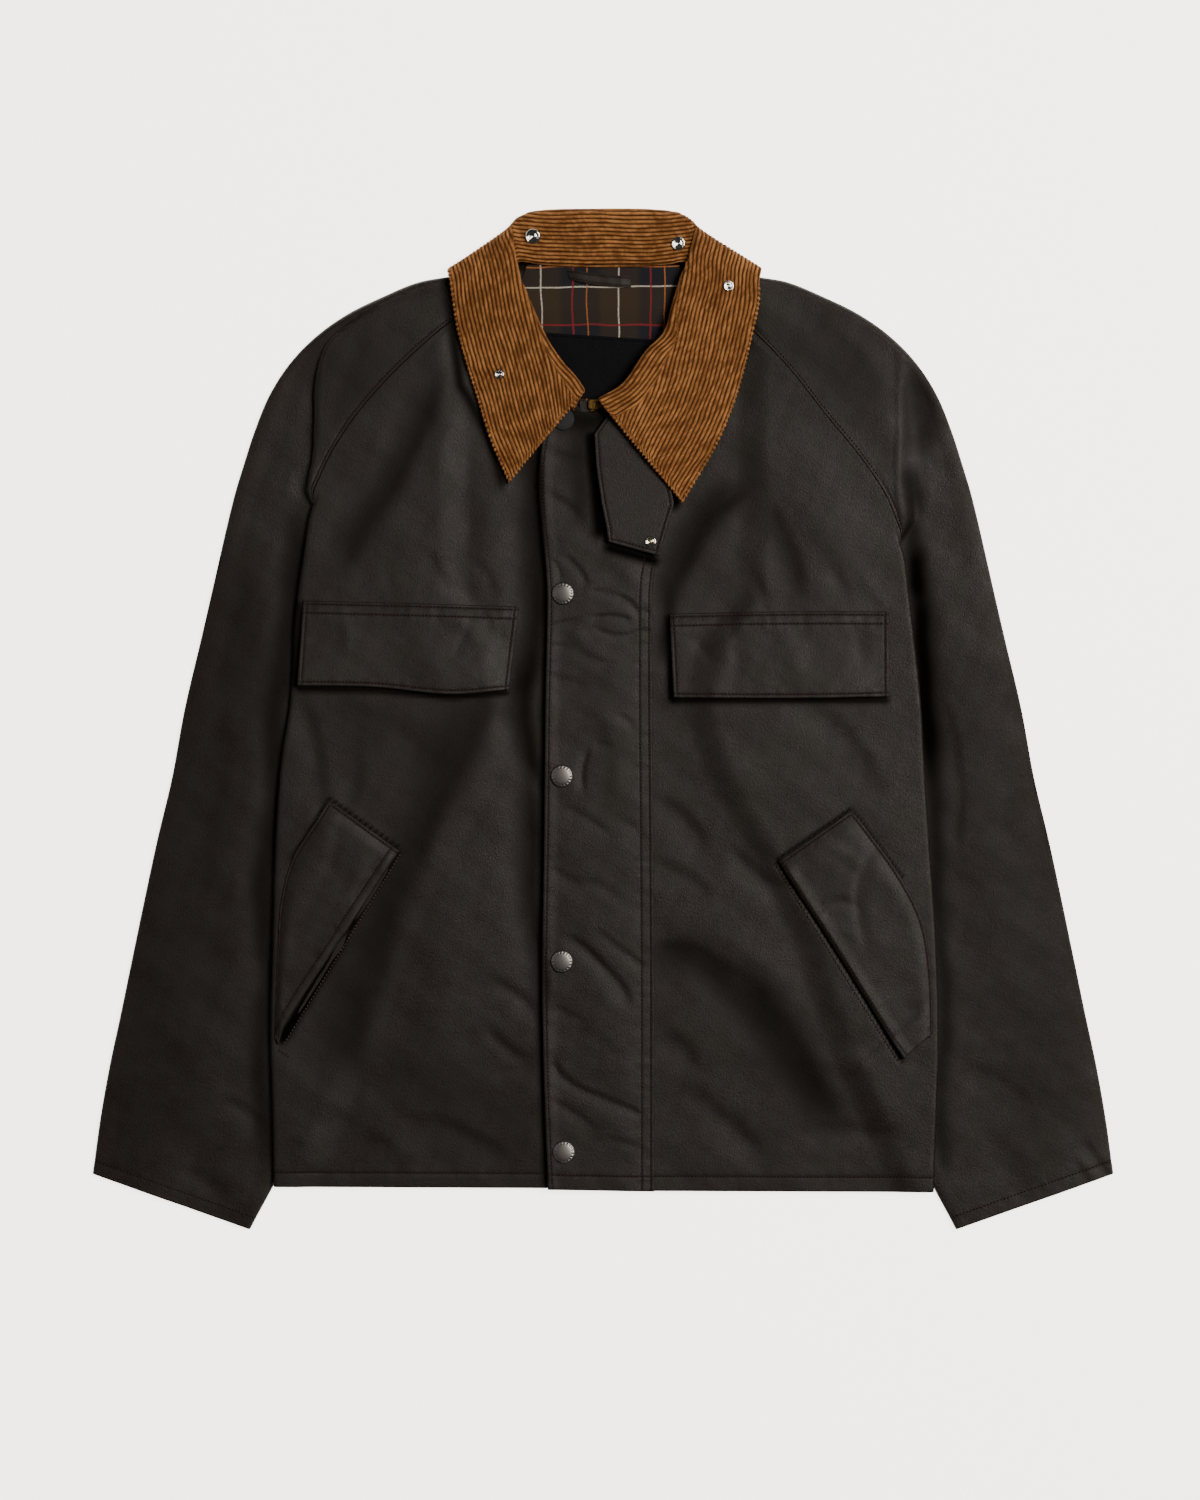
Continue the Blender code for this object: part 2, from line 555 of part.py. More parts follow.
def seam_fold(row, seam_z, closed, gap):
    """First columns of a ring: flat at the open seam, round the fold of the tube."""
    r = (row.level - FLOOR_LAYER) / 2 * closed
    curled = ((FOLD_LAP, 2 * r), (0.4 * r, 1.8 * r), (0.0, r), (0.4 * r, 0.2 * r))
    points = []
    for i, (along, drop) in enumerate(curled):
        flat = gap + FLAT_STEP * i
        points.append((along * closed + flat * (1 - closed), seam_z - drop))
    return points


def sleeve_line(side, row, seam, back, seam_z, closed, gap=SEAM):
    """One ring of a sleeve, from the front seam round the outline to the back seam."""
    seam, back = np.array(seam), np.array(back)
    edge = np.array([row.edge, row.edge_y])
    heading = (edge - seam) / np.hypot(*(edge - seam))
    edge = edge - heading * CLOTH / 2
    width = np.hypot(*(edge - seam))
    low_edge = FLOOR_LAYER + float(neck_ground(*edge))
    low_back = FLOOR_LAYER + float(neck_ground(*back))
    points = seam_fold(row, seam_z, closed, gap)
    # Up to the crease, and down it.
    start = max(FOLD_LAP / 2 * closed, gap + FLAT_STEP * len(points))
    lead = np.clip((row.crease - start) * LEAD_SHARE, LEAD_LEAST, LEAD_MOST)
    for share in (0.0, 0.5):
        along = start + (row.crease - lead - start) * share
        points.append((along, seam_z + (row.level - seam_z) * along / row.crease))
    for at in CREASE:
        along = row.crease + at.ahead * lead - row.tuck * at.shift
        points.append((along, row.level - row.step * at.drop))
    # Over the arm to the outline, and round it.
    begin = points[-1][0]
    lower = row.level - row.step
    r = (lower - low_edge) / 2
    stop = width - r - EDGE_RUN
    for share in (0.33, 0.67, 1.0):
        puff = PUFF * closed * math.sin(math.pi * share)
        points.append((begin + (stop - begin) * share, lower + puff))
    for out, drop in ((0.45, 0.12), (1.0, 1.0), (0.45, 1.88)):
        points.append((width - r + r * out, lower - r * drop))
    line = [(*(seam + heading * along), z) for along, z in points]
    # Along the floor to the back seam.
    under = seam + heading * stop
    end = back + (under - back) / np.hypot(*(under - back)) * (FOLD_LAP + SEAM) * closed
    for share in (0.0, 0.35, 0.7, 1.0):
        at = under + (end - under) * share
        z = low_edge + (low_back - low_edge) * share
        line.append((at[0], at[1], z))
    return [(side * x, y, z) for x, y, z in line]


def make_sleeve(name, raglan, side):
    """A raglan sleeve, creased where it passes under the body."""
    seams = spread(raglan, SEAM_ROWS)
    backs = spread(BACK_RAGLAN, SEAM_ROWS + ARMHOLE_ROWS)
    lines = []
    for seam, cap, back in zip(seams, spread(CAP, SEAM_ROWS), backs):
        z = float(front_z(side * seam.seam, seam.seam_y)) - cap.drop
        gap = SEAM + CAP_GAP * max(cap.drop, 0.0)
        lines.append(sleeve_line(
            side, cap, (seam.seam, seam.seam_y), (back.out, back.y), z, 0.0, gap))
    armpit = TUBE[0]._replace(
        fold=raglan[-1].seam - ARMPIT_IN, fold_y=raglan[-1].seam_y - ARMPIT_DOWN)
    tube = spread((armpit,) + TUBE[1:3], ARMHOLE_ROWS) + spread(TUBE[2:], TUBE_ROWS)[1:]
    ends = [(back.out, back.y) for back in backs[SEAM_ROWS:]]
    ends += [(row.fold, row.fold_y) for row in tube[ARMHOLE_ROWS:]]
    for row, end in zip(tube, ends):
        lines.append(sleeve_line(
            side, row, (row.fold, row.fold_y), end, row.level, row.closed))
    return cloth(name, np.array(lines), CLOTH, SHELL, flip=side > 0)


def collar_grid():
    """The collar's middle surface: stand, roll and fall, station by station."""
    lines = []
    for row in spread(COLLAR, (len(COLLAR) - 1) * COLLAR_STEPS + 1, (6, 7)):
        seam = np.array([row.seam_x, row.seam_y])
        roll = np.array([row.roll_x, row.roll_y])
        edge = np.array([row.edge_x, row.edge_y])
        near_seam = (seam - roll) / np.hypot(*(seam - roll))
        near_edge = (edge - roll) / np.hypot(*(edge - roll))
        stand_z = row.roll_z - row.half
        fall_z = row.roll_z + row.half
        bend = abs(row.half) * ROLL_SHARE + ROLL_SHARE
        line = [(*seam, row.seam_z)]
        at = seam + (roll + near_seam * bend * 1.6 - seam) * 0.55
        line.append((*at, row.seam_z + (stand_z - row.seam_z) * 0.55))
        line.append((*(roll + near_seam * bend * 1.4), stand_z))
        line.append((*(roll + near_seam * bend * 0.35), stand_z + row.half * 0.4))
        line.append((*roll, row.roll_z))
        line.append((*(roll + near_edge * bend * 0.35), fall_z - row.half * 0.4))
        line.append((*(roll + near_edge * bend * 1.4), fall_z))
        begin = roll + near_edge * bend * 1.4
        droop = LEAF_DROOP if row.half > 0 else FALL_DROOP
        for share in (0.3, 0.65, 1.0):
            at = begin + (edge - begin) * share
            line.append((*at, fall_z + (row.edge_z - fall_z) * share**droop))
        lines.append(line)
    grid = np.array(lines)
    grid[..., 2] = np.maximum(grid[..., 2], CORDUROY / 2)
    return grid


def turned(name, profile, place, colour, steps=12, tilt=None):
    """A turned piece: radius and height pairs, from its top to its foot."""
    mesh = bpy.data.meshes.new(name)
    points = [(r * MM, 0.0, z * MM) for r, z in profile]
    edges = [(i, i + 1) for i in range(len(points) - 1)]
    mesh.from_pydata(points, edges, [])
    item = new_object(name, mesh, colour)
    item.location = Vector(place) * MM
    if tilt is not None:
        item.rotation_euler = Vector(tilt).to_track_quat("Z", "Y").to_euler()
    screw = item.modifiers.new("Turn", "SCREW")
    screw.steps = steps
    screw.render_steps = steps
    screw.use_merge_vertices = True
    screw.merge_threshold = 0.00005
    return item


def dome_profile(radius, height):
    """A domed cap with a rolled rim, closed under."""
    return (
        (0.0, height), (radius * 0.45, height * 0.94), (radius * 0.8, height * 0.7),
        (radius, height * 0.35), (radius, 0.0), (0.0, 0.0))


def stud_profile(radius, height):
    """A ring round a sunk middle, closed under."""
    return (
        (0.0, height * 0.35), (radius * 0.45, height * 0.35), (radius * 0.6, height),
        (radius * 0.85, height), (radius, height * 0.4), (radius, 0.0), (0.0, 0.0))


def surface_at(grid, x, y, above, columns):
    """Nearest place on some columns of a grid, with its normal, for a stud."""
    part = grid[:, columns]
    best = None
    for i in range(part.shape[0] - 1):
        for j in range(part.shape[1] - 1):
            corner = part[i:i + 2, j:j + 2].reshape(4, 3)
            if above and corner[:, 2].mean() < above:
                continue
            distance = np.hypot(corner[:, 0].mean() - x, corner[:, 1].mean() - y)
            if best is None or distance < best[0]:
                a = corner[3] - corner[0]
                b = corner[2] - corner[1]
                normal = np.cross(a, b)
                normal = normal / np.linalg.norm(normal)
                normal = normal if normal[2] > 0 else -normal
                best = (distance, corner.mean(axis=0), normal)
    _, centre, normal = best
    z = centre[2] - (normal[0] * (x - centre[0]) + normal[1] * (y - centre[1])) / normal[2]
    return np.array([x, y, z]), normal


def make_fasteners(collar):
    """Snap caps on the storm fly, and the studs of the collar and the tab."""
    for snap in PLACKET_SNAPS:
        z = float(front_z(snap.x, snap.y)) + PATCH_UP + CLOTH / 2 + STUD_SINK
        turned(snap.name, dome_profile(snap.radius, snap.height), (snap.x, snap.y, z), GUNMETAL)
    for stud in COLLAR_STUDS:
        on_back = stud.y > 340.0
        columns = slice(0, 4) if on_back else slice(6, 10)
        at, normal = surface_at(collar, stud.x, stud.y, 4.0, columns)
        at = at + normal * (CORDUROY / 2 + STUD_SINK)
        turned(stud.name, stud_profile(stud.radius, stud.height), at, NICKEL, tilt=normal)


def make_tab():
    """The throat tab: its free end stands off the front."""
    table = np.array([tuple(row) for row in spread(THROAT_TAB, 7)])
    across = np.linspace(0.0, 1.0, 5)[None, :]
    x = table[:, 0:1] * (1 - across) + table[:, 2:3] * across
    y = table[:, 1:2] * (1 - across) + table[:, 3:4] * across
    lift = TAB_RISE * smooth((TAB_RISE_Y - y) / TAB_RISE_RUN) - TAB_DROOP * across
    grid = np.stack([x, y, TAB_LEVEL + lift], -1)
    cloth("throat_tab", grid, CLOTH, SHELL_TRIM)
    at, normal = surface_at(grid, TAB_STUD.x, TAB_STUD.y, 0.0, slice(0, 5))
    at = at + normal * (CLOTH / 2 + SEAM)
    turned("tab_stud", stud_profile(TAB_STUD.radius, TAB_STUD.height), at, NICKEL, tilt=normal)


def make_neck():
    """What the open collar shows inside: lining, label and hanging loop."""
    level = (CLOTH + LINING) / 2 + SEAM
    patch("neck_lining", NECK_LINING, 7, 9, level, CHECK, LINING, back_z)
    level += (LINING + LABEL) / 2 + SEAM
    patch("neck_label", NECK_LABEL, 3, 6, level + LABEL_UP, SATIN, LABEL, back_z)
    patch("hang_loop", HANG_LOOP, 3, 5, level + LOOP_UP, SHELL_TRIM, LABEL, back_z)


def make_zip():
    """Tapes under both fronts, and the slider at the throat, under the collar."""
    patch("zip_tape", ZIP_TAPE, 2, 12, -(CLOTH + TAPE) / 2 - SEAM, DARK_TAPE, TAPE)
    low = Vector((ZIP_X - SLIDER_HALF, ZIP_TOP_Y - SLIDER_LENGTH, SLIDER_FOOT))
    high = Vector((ZIP_X + SLIDER_HALF, ZIP_TOP_Y, SLIDER_FOOT + SLIDER_HEIGHT))
    form = bmesh.new()
    bmesh.ops.create_cube(form, size=1.0)
    for corner in form.verts:
        corner.co = Vector(
            (a + b) / 2 + (b - a) * c for a, b, c in zip(low, high, corner.co)) * MM
    mesh = bpy.data.meshes.new("zip_slider")
    form.to_mesh(mesh)
    form.free()
    slider = new_object("zip_slider", mesh, BRASS)
    edge = slider.modifiers.new("Edges", "BEVEL")
    edge.width = SLIDER_EDGE * MM
    edge.segments = 2


def clear_scene():
    """Start from an empty scene with a collection for the jacket."""
    for item in list(bpy.data.objects):
        bpy.data.objects.remove(item, do_unlink=True)
    jacket = bpy.data.collections.new(COLLECTION)
    bpy.context.scene.collection.children.link(jacket)


def main():
    """Lay the jacket out, from the floor up."""
    clear_scene()
    make_back()
    make_front("front_right", FRONT_RIGHT, RAGLAN_RIGHT, -1)
    make_front("front_left", FRONT_LEFT, RAGLAN_LEFT, 1)
    make_sleeve("sleeve_right", RAGLAN_RIGHT, -1)
    make_sleeve("sleeve_left", RAGLAN_LEFT, 1)
    collar = collar_grid()
    cloth("collar", collar, CORDUROY, CORD)
    patch("placket", PLACKET, 5, 24, PATCH_UP, SHELL_TRIM)
    patch("chest_flap_right", CHEST_FLAP_RIGHT, 4, 10, PATCH_UP, SHELL_TRIM)
    patch("chest_flap_left", CHEST_FLAP_LEFT, 4, 10, PATCH_UP, SHELL_TRIM)
    patch("hand_pocket_right", HAND_POCKET_RIGHT, 5, 10, PATCH_UP, SHELL_TRIM)
    patch("hand_pocket_left", HAND_POCKET_LEFT, 5, 10, PATCH_UP, SHELL_TRIM)
    make_neck()
    make_zip()
    make_tab()
    make_fasteners(collar)


main()
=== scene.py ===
import math
from collections import namedtuple

import bpy
import numpy as np
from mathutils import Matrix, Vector


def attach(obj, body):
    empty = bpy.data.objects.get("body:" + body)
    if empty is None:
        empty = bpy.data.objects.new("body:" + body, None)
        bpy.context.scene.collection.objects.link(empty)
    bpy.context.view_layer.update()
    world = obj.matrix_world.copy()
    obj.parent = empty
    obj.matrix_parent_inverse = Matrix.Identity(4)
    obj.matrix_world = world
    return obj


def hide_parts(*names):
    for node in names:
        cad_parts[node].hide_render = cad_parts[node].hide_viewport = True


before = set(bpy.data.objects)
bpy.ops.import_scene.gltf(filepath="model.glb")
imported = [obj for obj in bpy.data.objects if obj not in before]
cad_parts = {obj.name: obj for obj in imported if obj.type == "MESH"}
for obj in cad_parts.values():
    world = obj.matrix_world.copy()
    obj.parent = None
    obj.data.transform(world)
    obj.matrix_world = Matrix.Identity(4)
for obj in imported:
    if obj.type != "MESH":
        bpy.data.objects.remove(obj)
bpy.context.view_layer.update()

bl_info = {
    "name": "Waxed cotton jacket",
    "version": (1, 0, 0),
    "blender": (4, 5, 0),
    "location": "3D View > Sidebar > Jacket",
    "description": "Cloth, corduroy, sewing, snaps and zip of a jacket laid out flat",
    "category": "Object",
}

MM = 0.001
SIDES = ("left", "right", "low", "high")


def table(kind, *rows):
    """A table: rows of one kind."""
    return tuple(kind(*row) for row in rows)


# Thickness of the cloths, the gap of a seam, and how far a patch lies above the
# middle of what it is sewn on.
CLOTH = 1.8
CORDUROY = 2.4
LINING = 1.2
LABEL = 0.6
TAPE = 0.8
SEAM = 0.05
PATCH_UP = CLOTH + 0.75

# Heights of the layers' middles, and where and over what runs the body climbs onto
# the sleeves and the collar's fall raises it.
FLOOR_LAYER = CLOTH / 2
SLEEVE_LIFT = 4.8
COLLAR_LIFT = 2.8
SIDE_TURN = 1.6
SIDE_LEVEL = FLOOR_LAYER + SLEEVE_LIFT + 2 * SIDE_TURN
AIR_MIDDLE = 3.2
PUFF = 1.3
CLIMB_START = 35.0
CLIMB = 26.0
CLIMB_END_Y = 134.0
CLIMB_END = 30.0
FALL_Y = 292.0
FALL_RUN = 18.0
FALL_OUT = 142.0
FALL_OUT_RUN = 25.0
HEM_Y = -351.0
NECK_Y = 344.0
NECK_OUT = 64.0

# Folds of the sleeve, the fronts and the collar.
FOLD_LAP = 5.2
FLAT_STEP = 0.4
LEAD_SHARE = 0.45
LEAD_LEAST = 0.6
SOFT_LEAD = 2.2
LEAD_MOST = 7.0
SOFT_TUCK = -8.0
FAR_FROM_EDGE = 8.0
EDGE_RUN = 0.6
ARMPIT_IN = 9.0
ARMPIT_DOWN = 22.0
FLAT_CURL = 6.0
CURL_END = 12.0
ROLL_SHARE = 0.8
LEAF_DROOP = 1.5
FALL_DROOP = 0.6

# Grids of the large panels: number of rows and the length they are spread over.
FRONT_LOW = (190, 521.0)
FRONT_HIGH = (84, 206.0)
FRONT_ACROSS = (112, 235.0)
BACK_LOW = (70, 424.0)
BACK_HIGH = 44
BACK_ACROSS = (110, 460.0)
COLLAR_ALONG = (176, 640.0)
# The sleeve's net: rings along it, cuts of each span between them, and cuts of each
# span of a ring, from the front seam round to the back seam.
SEAM_ROWS = 10
ARMHOLE_ROWS = 4
TUBE_ROWS = 11
SEAM_CUTS = 9
ARMPIT_CUTS = 10
TUBE_CUTS = 17
CUFF_CLOSE = (0.956, 0.972, 0.985, 0.993, 0.998)
SLEEVE_CUTS = (2, 2, 2, 7, 7) + (2,) * 7 + (16, 16, 16, 3, 3, 3, 2, 9, 9)

# Close rows at a rim and beside a row of stitches.
RIM_CLOSE = (0.0, 0.04, 0.16, 0.4, 0.75, 1.15)
BESIDE_ROW = (-1.3, -0.75, -0.35, 0.0, 0.35, 0.75, 1.3)

# Sewn edges: the rim's radius, how deep the edge sinks, and how far that reaches.
SEWN_RIM = 0.3
SEWN_SINK = 1.5
SEWN_REACH = 7.0
PUCKER = 0.12

# Strength of the creases on the fronts and on the patches, and of the painted shade in the folds.
BODY_DEPTH = 1.25
PATCH_DEPTH = 0.85
PAINTED_SHADE_SHARE = 0.75

# Throat tab.
TAB_LEVEL = 11.8
TAB_RISE = 2.6
TAB_RISE_Y = 190.0
TAB_RISE_RUN = 60.0
TAB_DROOP = 0.6

# Zip.
ZIP_X = -6.8
ZIP_TAPE_HALF = 11.0
ZIP_TOP_Y = 239.5
TOOTH_PITCH = 2.6
TOOTH_OUT = 1.5
TOOTH_DOWN = 0.1
TEETH_LOW = 5.0
TEETH_HIGH = 6.0
SLIDER_DOWN = 3.75
TOOTH_HALF = (2.2, 0.75, 0.95)
# The slider's two plates, post, bridge and pull: middle, from the slider's own, and
# half sizes.
SLIDER_BLOCKS = (
    (0.0, 0.0, 7.3, 4.1, 3.7, 0.55), (0.0, 0.0, 5.7, 4.1, 3.7, 0.55),
    (0.0, 1.6, 6.5, 0.9, 1.6, 0.9), (0.0, 0.0, 8.0, 0.8, 2.3, 0.45),
    (3.4, -1.4, 7.95, 2.9, 1.3, 0.35))

# Fronts, up the side fold to the armpit.
FrontRow = namedtuple("FrontRow", "inner inner_y outer outer_y under")
FRONT_RIGHT = table(FrontRow,
    (11.3, -351.2, 246.5, -350, 14), (11.3, -293.6, 247.5, -293.6, 14),
    (11.3, -244, 249, -244, 14), (11.3, -169, 247.5, -169, 14), (11.3, -95, 245.3, -95, 14),
    (11.3, -32.5, 241, -32.5, 14), (11.3, 15, 234, 15, 14), (11.3, 60, 229.5, 85, 14),
    (11.3, 104, 225, 117, 12), (11.3, 142, 220.5, 149, 11), (11.3, 172, 217.5, 171, 0))
FRONT_LEFT = table(FrontRow,
    (-2.3, -353, 247.5, -354, 14), (-2.3, -293.6, 249.8, -293.6, 14),
    (-2.3, -244, 251.3, -244, 14), (-2.3, -169, 249.5, -169, 14), (-2.3, -95, 244.5, -95, 14),
    (-2.3, -32.5, 240.5, -32.5, 14), (-2.3, 15, 237.8, 15, 14), (-2.3, 55, 233, 60, 14),
    (-2.3, 90, 229, 95, 13), (-2.3, 118, 226, 120, 11), (-2.3, 140, 223.5, 141, 0))

# Half of the back, up the side seam.
EdgeRow = namedtuple("EdgeRow", "out y")
BACK = table(EdgeRow,
    (232, -350.5), (234, -244), (232, -169), (229, -95), (224, -32.5), (218, 30), (208, 72))

# Front raglan seams, from the neck to the armpit.
SeamRow = namedtuple("SeamRow", "seam seam_y inner inner_y")
RAGLAN_RIGHT = table(SeamRow,
    (81, 320.5, 72, 317), (94, 311.5, 67.5, 304), (114, 298, 56.3, 277),
    (139.5, 276.5, 37.5, 250), (168, 248, 19.5, 236), (190, 221, 12.8, 218.6),
    (205.5, 196, 11.3, 195), (217, 171, 11.3, 171))
RAGLAN_LEFT = table(SeamRow,
    (81, 319.5, 71, 316), (93, 309.5, 66, 300), (112.5, 291, 50, 270), (142.5, 259, 30, 247),
    (165.8, 229, 6.5, 228), (191.3, 198, -1.3, 202), (212.5, 166, -2.3, 170),
    (222.5, 142, -2.3, 140))

# Back raglan seam, from the neck to the underarm.
BACK_RAGLAN = table(EdgeRow, (73, 332), (88, 290), (102, 240), (114, 180), (124, 135), (134, 95))

# Upper sleeve: its outline from the neck to the armpit.
CAP = table(EdgeRow,
    (83, 340), (101, 333.5), (124, 331.5), (158, 319.5), (196, 300.8), (228, 274.8), (251, 241.3),
    (263, 211), (270, 189))
CapRow = namedtuple("CapRow", "edge edge_y crease tuck step level")
# The crease beside the body on each side: its distance from the seam, how far the
# cloth tucks under it, and its step down.
SideCrease = namedtuple("SideCrease", "crease tuck step")
CREASE_RIGHT = table(SideCrease,
    (9, -4, 0.6), (15.7, -6, 0.6), (25, -7, 0.7), (36, -6, 0.8), (46, -3, 1.4), (50, 0.5, 3.4),
    (39, 2.5, 5.3), (22.5, 4, 5.5), (10.2, 3, 5.4), (4, 0.4, 5.4))
CREASE_LEFT = table(SideCrease,
    (9, -4, 0.6), (15.7, -6, 0.6), (25, -7, 0.7), (38, -6, 0.4), (48, -6, 0.5), (52, -7, 0.9),
    (52, -8.5, 1.9), (34, -10, 3.2), (16, -11, 4.4), (4, -12, 5.4))
# A sleeve's line through its crease: leads ahead, shares of the tuck and of the step.
CreaseStep = namedtuple("CreaseStep", "ahead shift drop")
SLEEVE_CREASE = table(CreaseStep,
    (-1, 0, 0), (-0.25, 0, 0.06), (0, 0, 0.26), (-0.2, 0.35, 0.47), (0, 0.65, 0.53), (0, 1, 0.74),
    (0.2, 1, 0.94), (1, 1, 1))

# Lower sleeve: inner fold under the body, outline, and the dying crease.
TubeRow = namedtuple("TubeRow", "fold fold_y edge edge_y crease tuck step level closed",
                     defaults=(-12, 0, 3.5, 1))
TUBE = table(TubeRow,
    (208, 149, 275.5, 171, 8, -2, 0.4, 3.8, 0), (186, 88, 281.5, 147, 46, -9, 0, 3.5, 0),
    (134, 95, 289.5, 112, 74, -12, 0, 3.5, 0.4), (104, 55, 300, 66, 100), (94, 10, 312, 16, 112),
    (108, -40, 321.5, -36, 106), (144, -100, 335.5, -96, 80), (176, -170, 349, -160, 60),
    (197, -235, 361, -218, 46), (223, -295, 371.5, -268, 36), (247, -348, 378, -307, 30),
    (265.5, -382, 382.5, -340.5, 28))
INNER_FOLD_Y = tuple(row.fold_y for row in TUBE[:1:-1])
INNER_FOLD_OUT = tuple(row.fold for row in TUBE[:1:-1])

# Collar stations, from the wearer's right leaf round the back to the left one.
# "band" is the width at the roll where the wales follow the roll.
CollarRow = namedtuple(
    "CollarRow", "seam_x seam_y seam_z roll_x roll_y roll_z edge_x edge_y edge_z half band")
COLLAR = table(CollarRow,
    (-22, 231, 11.3, -14.3, 244.8, 13.6, -70.5, 177.5, 9.7, 1.8, 9.3),
    (-34, 240, 11.3, -21.5, 255.5, 13.5, -85, 211.5, 9.5, 1.8, 9.3),
    (-49, 254, 11, -32.5, 268, 13.3, -94.5, 242, 9.4, 1.8, 6.2),
    (-61.5, 275, 11, -44, 286, 13.2, -102.5, 267.5, 9.8, 1.7, 3.1),
    (-71.5, 301, 11.4, -55, 311, 13.4, -109, 292, 11.2, 1.6, 0),
    (-73, 325, 11.6, -63.5, 333.5, 13.2, -112.5, 314, 11.8, 1.5, 0),
    (-68.5, 338, 10.4, -67.8, 353, 12.4, -114.5, 329.5, 12, 1, 0),
    (-63, 342, 9.2, -68.6, 366, 9.6, -115.8, 336.8, 6.8, 0, 0),
    (-58.5, 342, 8.4, -67, 370.3, 6.4, -108.5, 334.5, 1.2, -2.2, 0),
    (-50, 340.6, 7.8, -58, 377.2, 5.6, -84, 317, 1.2, -3.4, 0),
    (-33, 339.2, 7.8, -43.5, 380.2, 5.4, -47, 312.5, 1.2, -4, 0),
    (0, 338.4, 7.8, 0, 381, 5.4, 0, 312, 1.2, -4.1, 0),
    (33, 339.2, 7.8, 43.5, 380.2, 5.4, 47, 312.5, 1.2, -4, 0),
    (50, 340.6, 7.8, 59, 377, 5.6, 84, 317, 1.2, -3.4, 0),
    (58.5, 342, 8.4, 68, 369.8, 6.4, 109.5, 334, 1.2, -2.2, 0),
    (63, 342, 9.2, 69.6, 365.8, 9.6, 118.2, 337.6, 6.8, 0, 0),
    (68, 338, 10.4, 66.8, 352, 12.4, 117, 328.5, 12, 1, 0),
    (72, 325, 11.6, 60, 333, 13.2, 116.5, 311.5, 11.8, 1.5, 0),
    (69, 303, 11.6, 53, 310.5, 13.7, 113, 294.5, 11.2, 1.6, 3.1),
    (60.5, 280, 12, 47, 289.5, 14.2, 108, 273, 10.2, 1.7, 9.3),
    (47.5, 262.5, 12.8, 33.5, 275, 15, 102, 250, 10.2, 1.8, 15.5),
    (30.5, 246.5, 14, 18.5, 253, 16, 89.5, 215.5, 11.2, 1.8, 18.6),
    (12.5, 229.5, 14.6, -3.4, 238, 16.5, 59.3, 162, 13.9, 1.8, 18.6))
# The roll: its point on a station's line, and how far from it the cloth turns.
ROLL_COLUMN = 4
ROLL_OUT = 1.4
ROLL_IN = 0.35
STAND_SHARE = 0.55
COLLAR_CUTS = (26, 4, 3, 3, 4, 34, 40)
# The rolled pile: share of the collar's length on each leaf, columns of the front
# edge, step along it, pitch of its ribs against the wales' and sides of its tube.
ROPE_LEAF = 0.315
ROPE_COLUMNS = 118
ROPE_STEP = 0.55
ROPE_PITCH = 1.22
ROPE_SIDES = 8

# Patches: two long edges, row by row, as x and y.
PatchRow = namedtuple("PatchRow", "ax ay bx by")
PLACKET = table(PatchRow,
    (-41.3, -352, 38.3, -353.5), (-44.3, -281, 38.3, -281), (-45.8, -210, 38.3, -210),
    (-44.3, -75, 37.5, -75), (-43.5, 15, 36.8, 15), (-42, 90, 36.8, 90), (-45.8, 207, 36.8, 204),
    (-40, 231, 20, 229))
CHEST_FLAP_RIGHT = table(PatchRow,
    (-224.3, 88.9, -228.3, 25.1), (-170, 87.6, -172, 24), (-110, 86, -112, 18.6),
    (-63, 84.4, -70.5, 22.1))
CHEST_FLAP_LEFT = table(PatchRow,
    (49.5, 79.1, 52.5, 16.1), (110, 80.4, 112, 15.6), (165, 80.8, 166, 15.8),
    (213.8, 80.6, 213.8, 16.9))
HAND_POCKET_RIGHT = table(PatchRow,
    (-204.8, -60.4, -152.3, -98.6), (-216.8, -79.1, -165.9, -118.4),
    (-232.5, -104.6, -185.3, -148), (-240.5, -133.9, -204.7, -177.5),
    (-243, -169, -224.7, -206.8), (-244.5, -210, -238.6, -229.5), (-245.3, -239, -242.5, -243.2))
HAND_POCKET_LEFT = table(PatchRow,
    (186, -67.9, 131.3, -106.1), (201, -87.4, 150, -136), (223.5, -119.6, 172, -170),
    (238, -148.9, 190, -199), (244.6, -185, 207, -226), (246.3, -215, 218, -243.5),
    (246.6, -234.4, 225, -253.5))
THROAT_TAB = table(PatchRow,
    (8.3, 233.6, 23.3, 236.6), (-6.8, 213.4, 35.3, 216), (-5.3, 189.4, 47.3, 190.9),
    (-1.5, 162.4, 53.3, 160.9), (2.3, 143.6, 48.8, 146.6), (3.8, 132.4, 42, 121.9))
NECK_LINING = table(PatchRow,
    (-57, 340.5, 57, 340.5), (-66, 314, 66, 314), (-56, 284.6, 56, 284.6),
    (-37, 254.6, 36, 254.6), (-20, 230.6, 20, 230.6))
NECK_LABEL = table(PatchRow,
    (-45.8, 290, 37.5, 284.6), (-45, 264, 36.5, 262), (-44.5, 240.5, 36, 240.5))
HANG_LOOP = table(PatchRow,
    (-27, 336.4, -24.5, 329), (-12, 334.6, -10.5, 326), (5, 332.5, 5.5, 324),
    (20.8, 331.8, 21, 323))
ZIP_TAPE = tuple(
    PatchRow(ZIP_X - ZIP_TAPE_HALF, y, ZIP_X + ZIP_TAPE_HALF, y)
    for y in (HEM_Y + 2.0, -150.0, 50.0, ZIP_TOP_Y - 0.5))
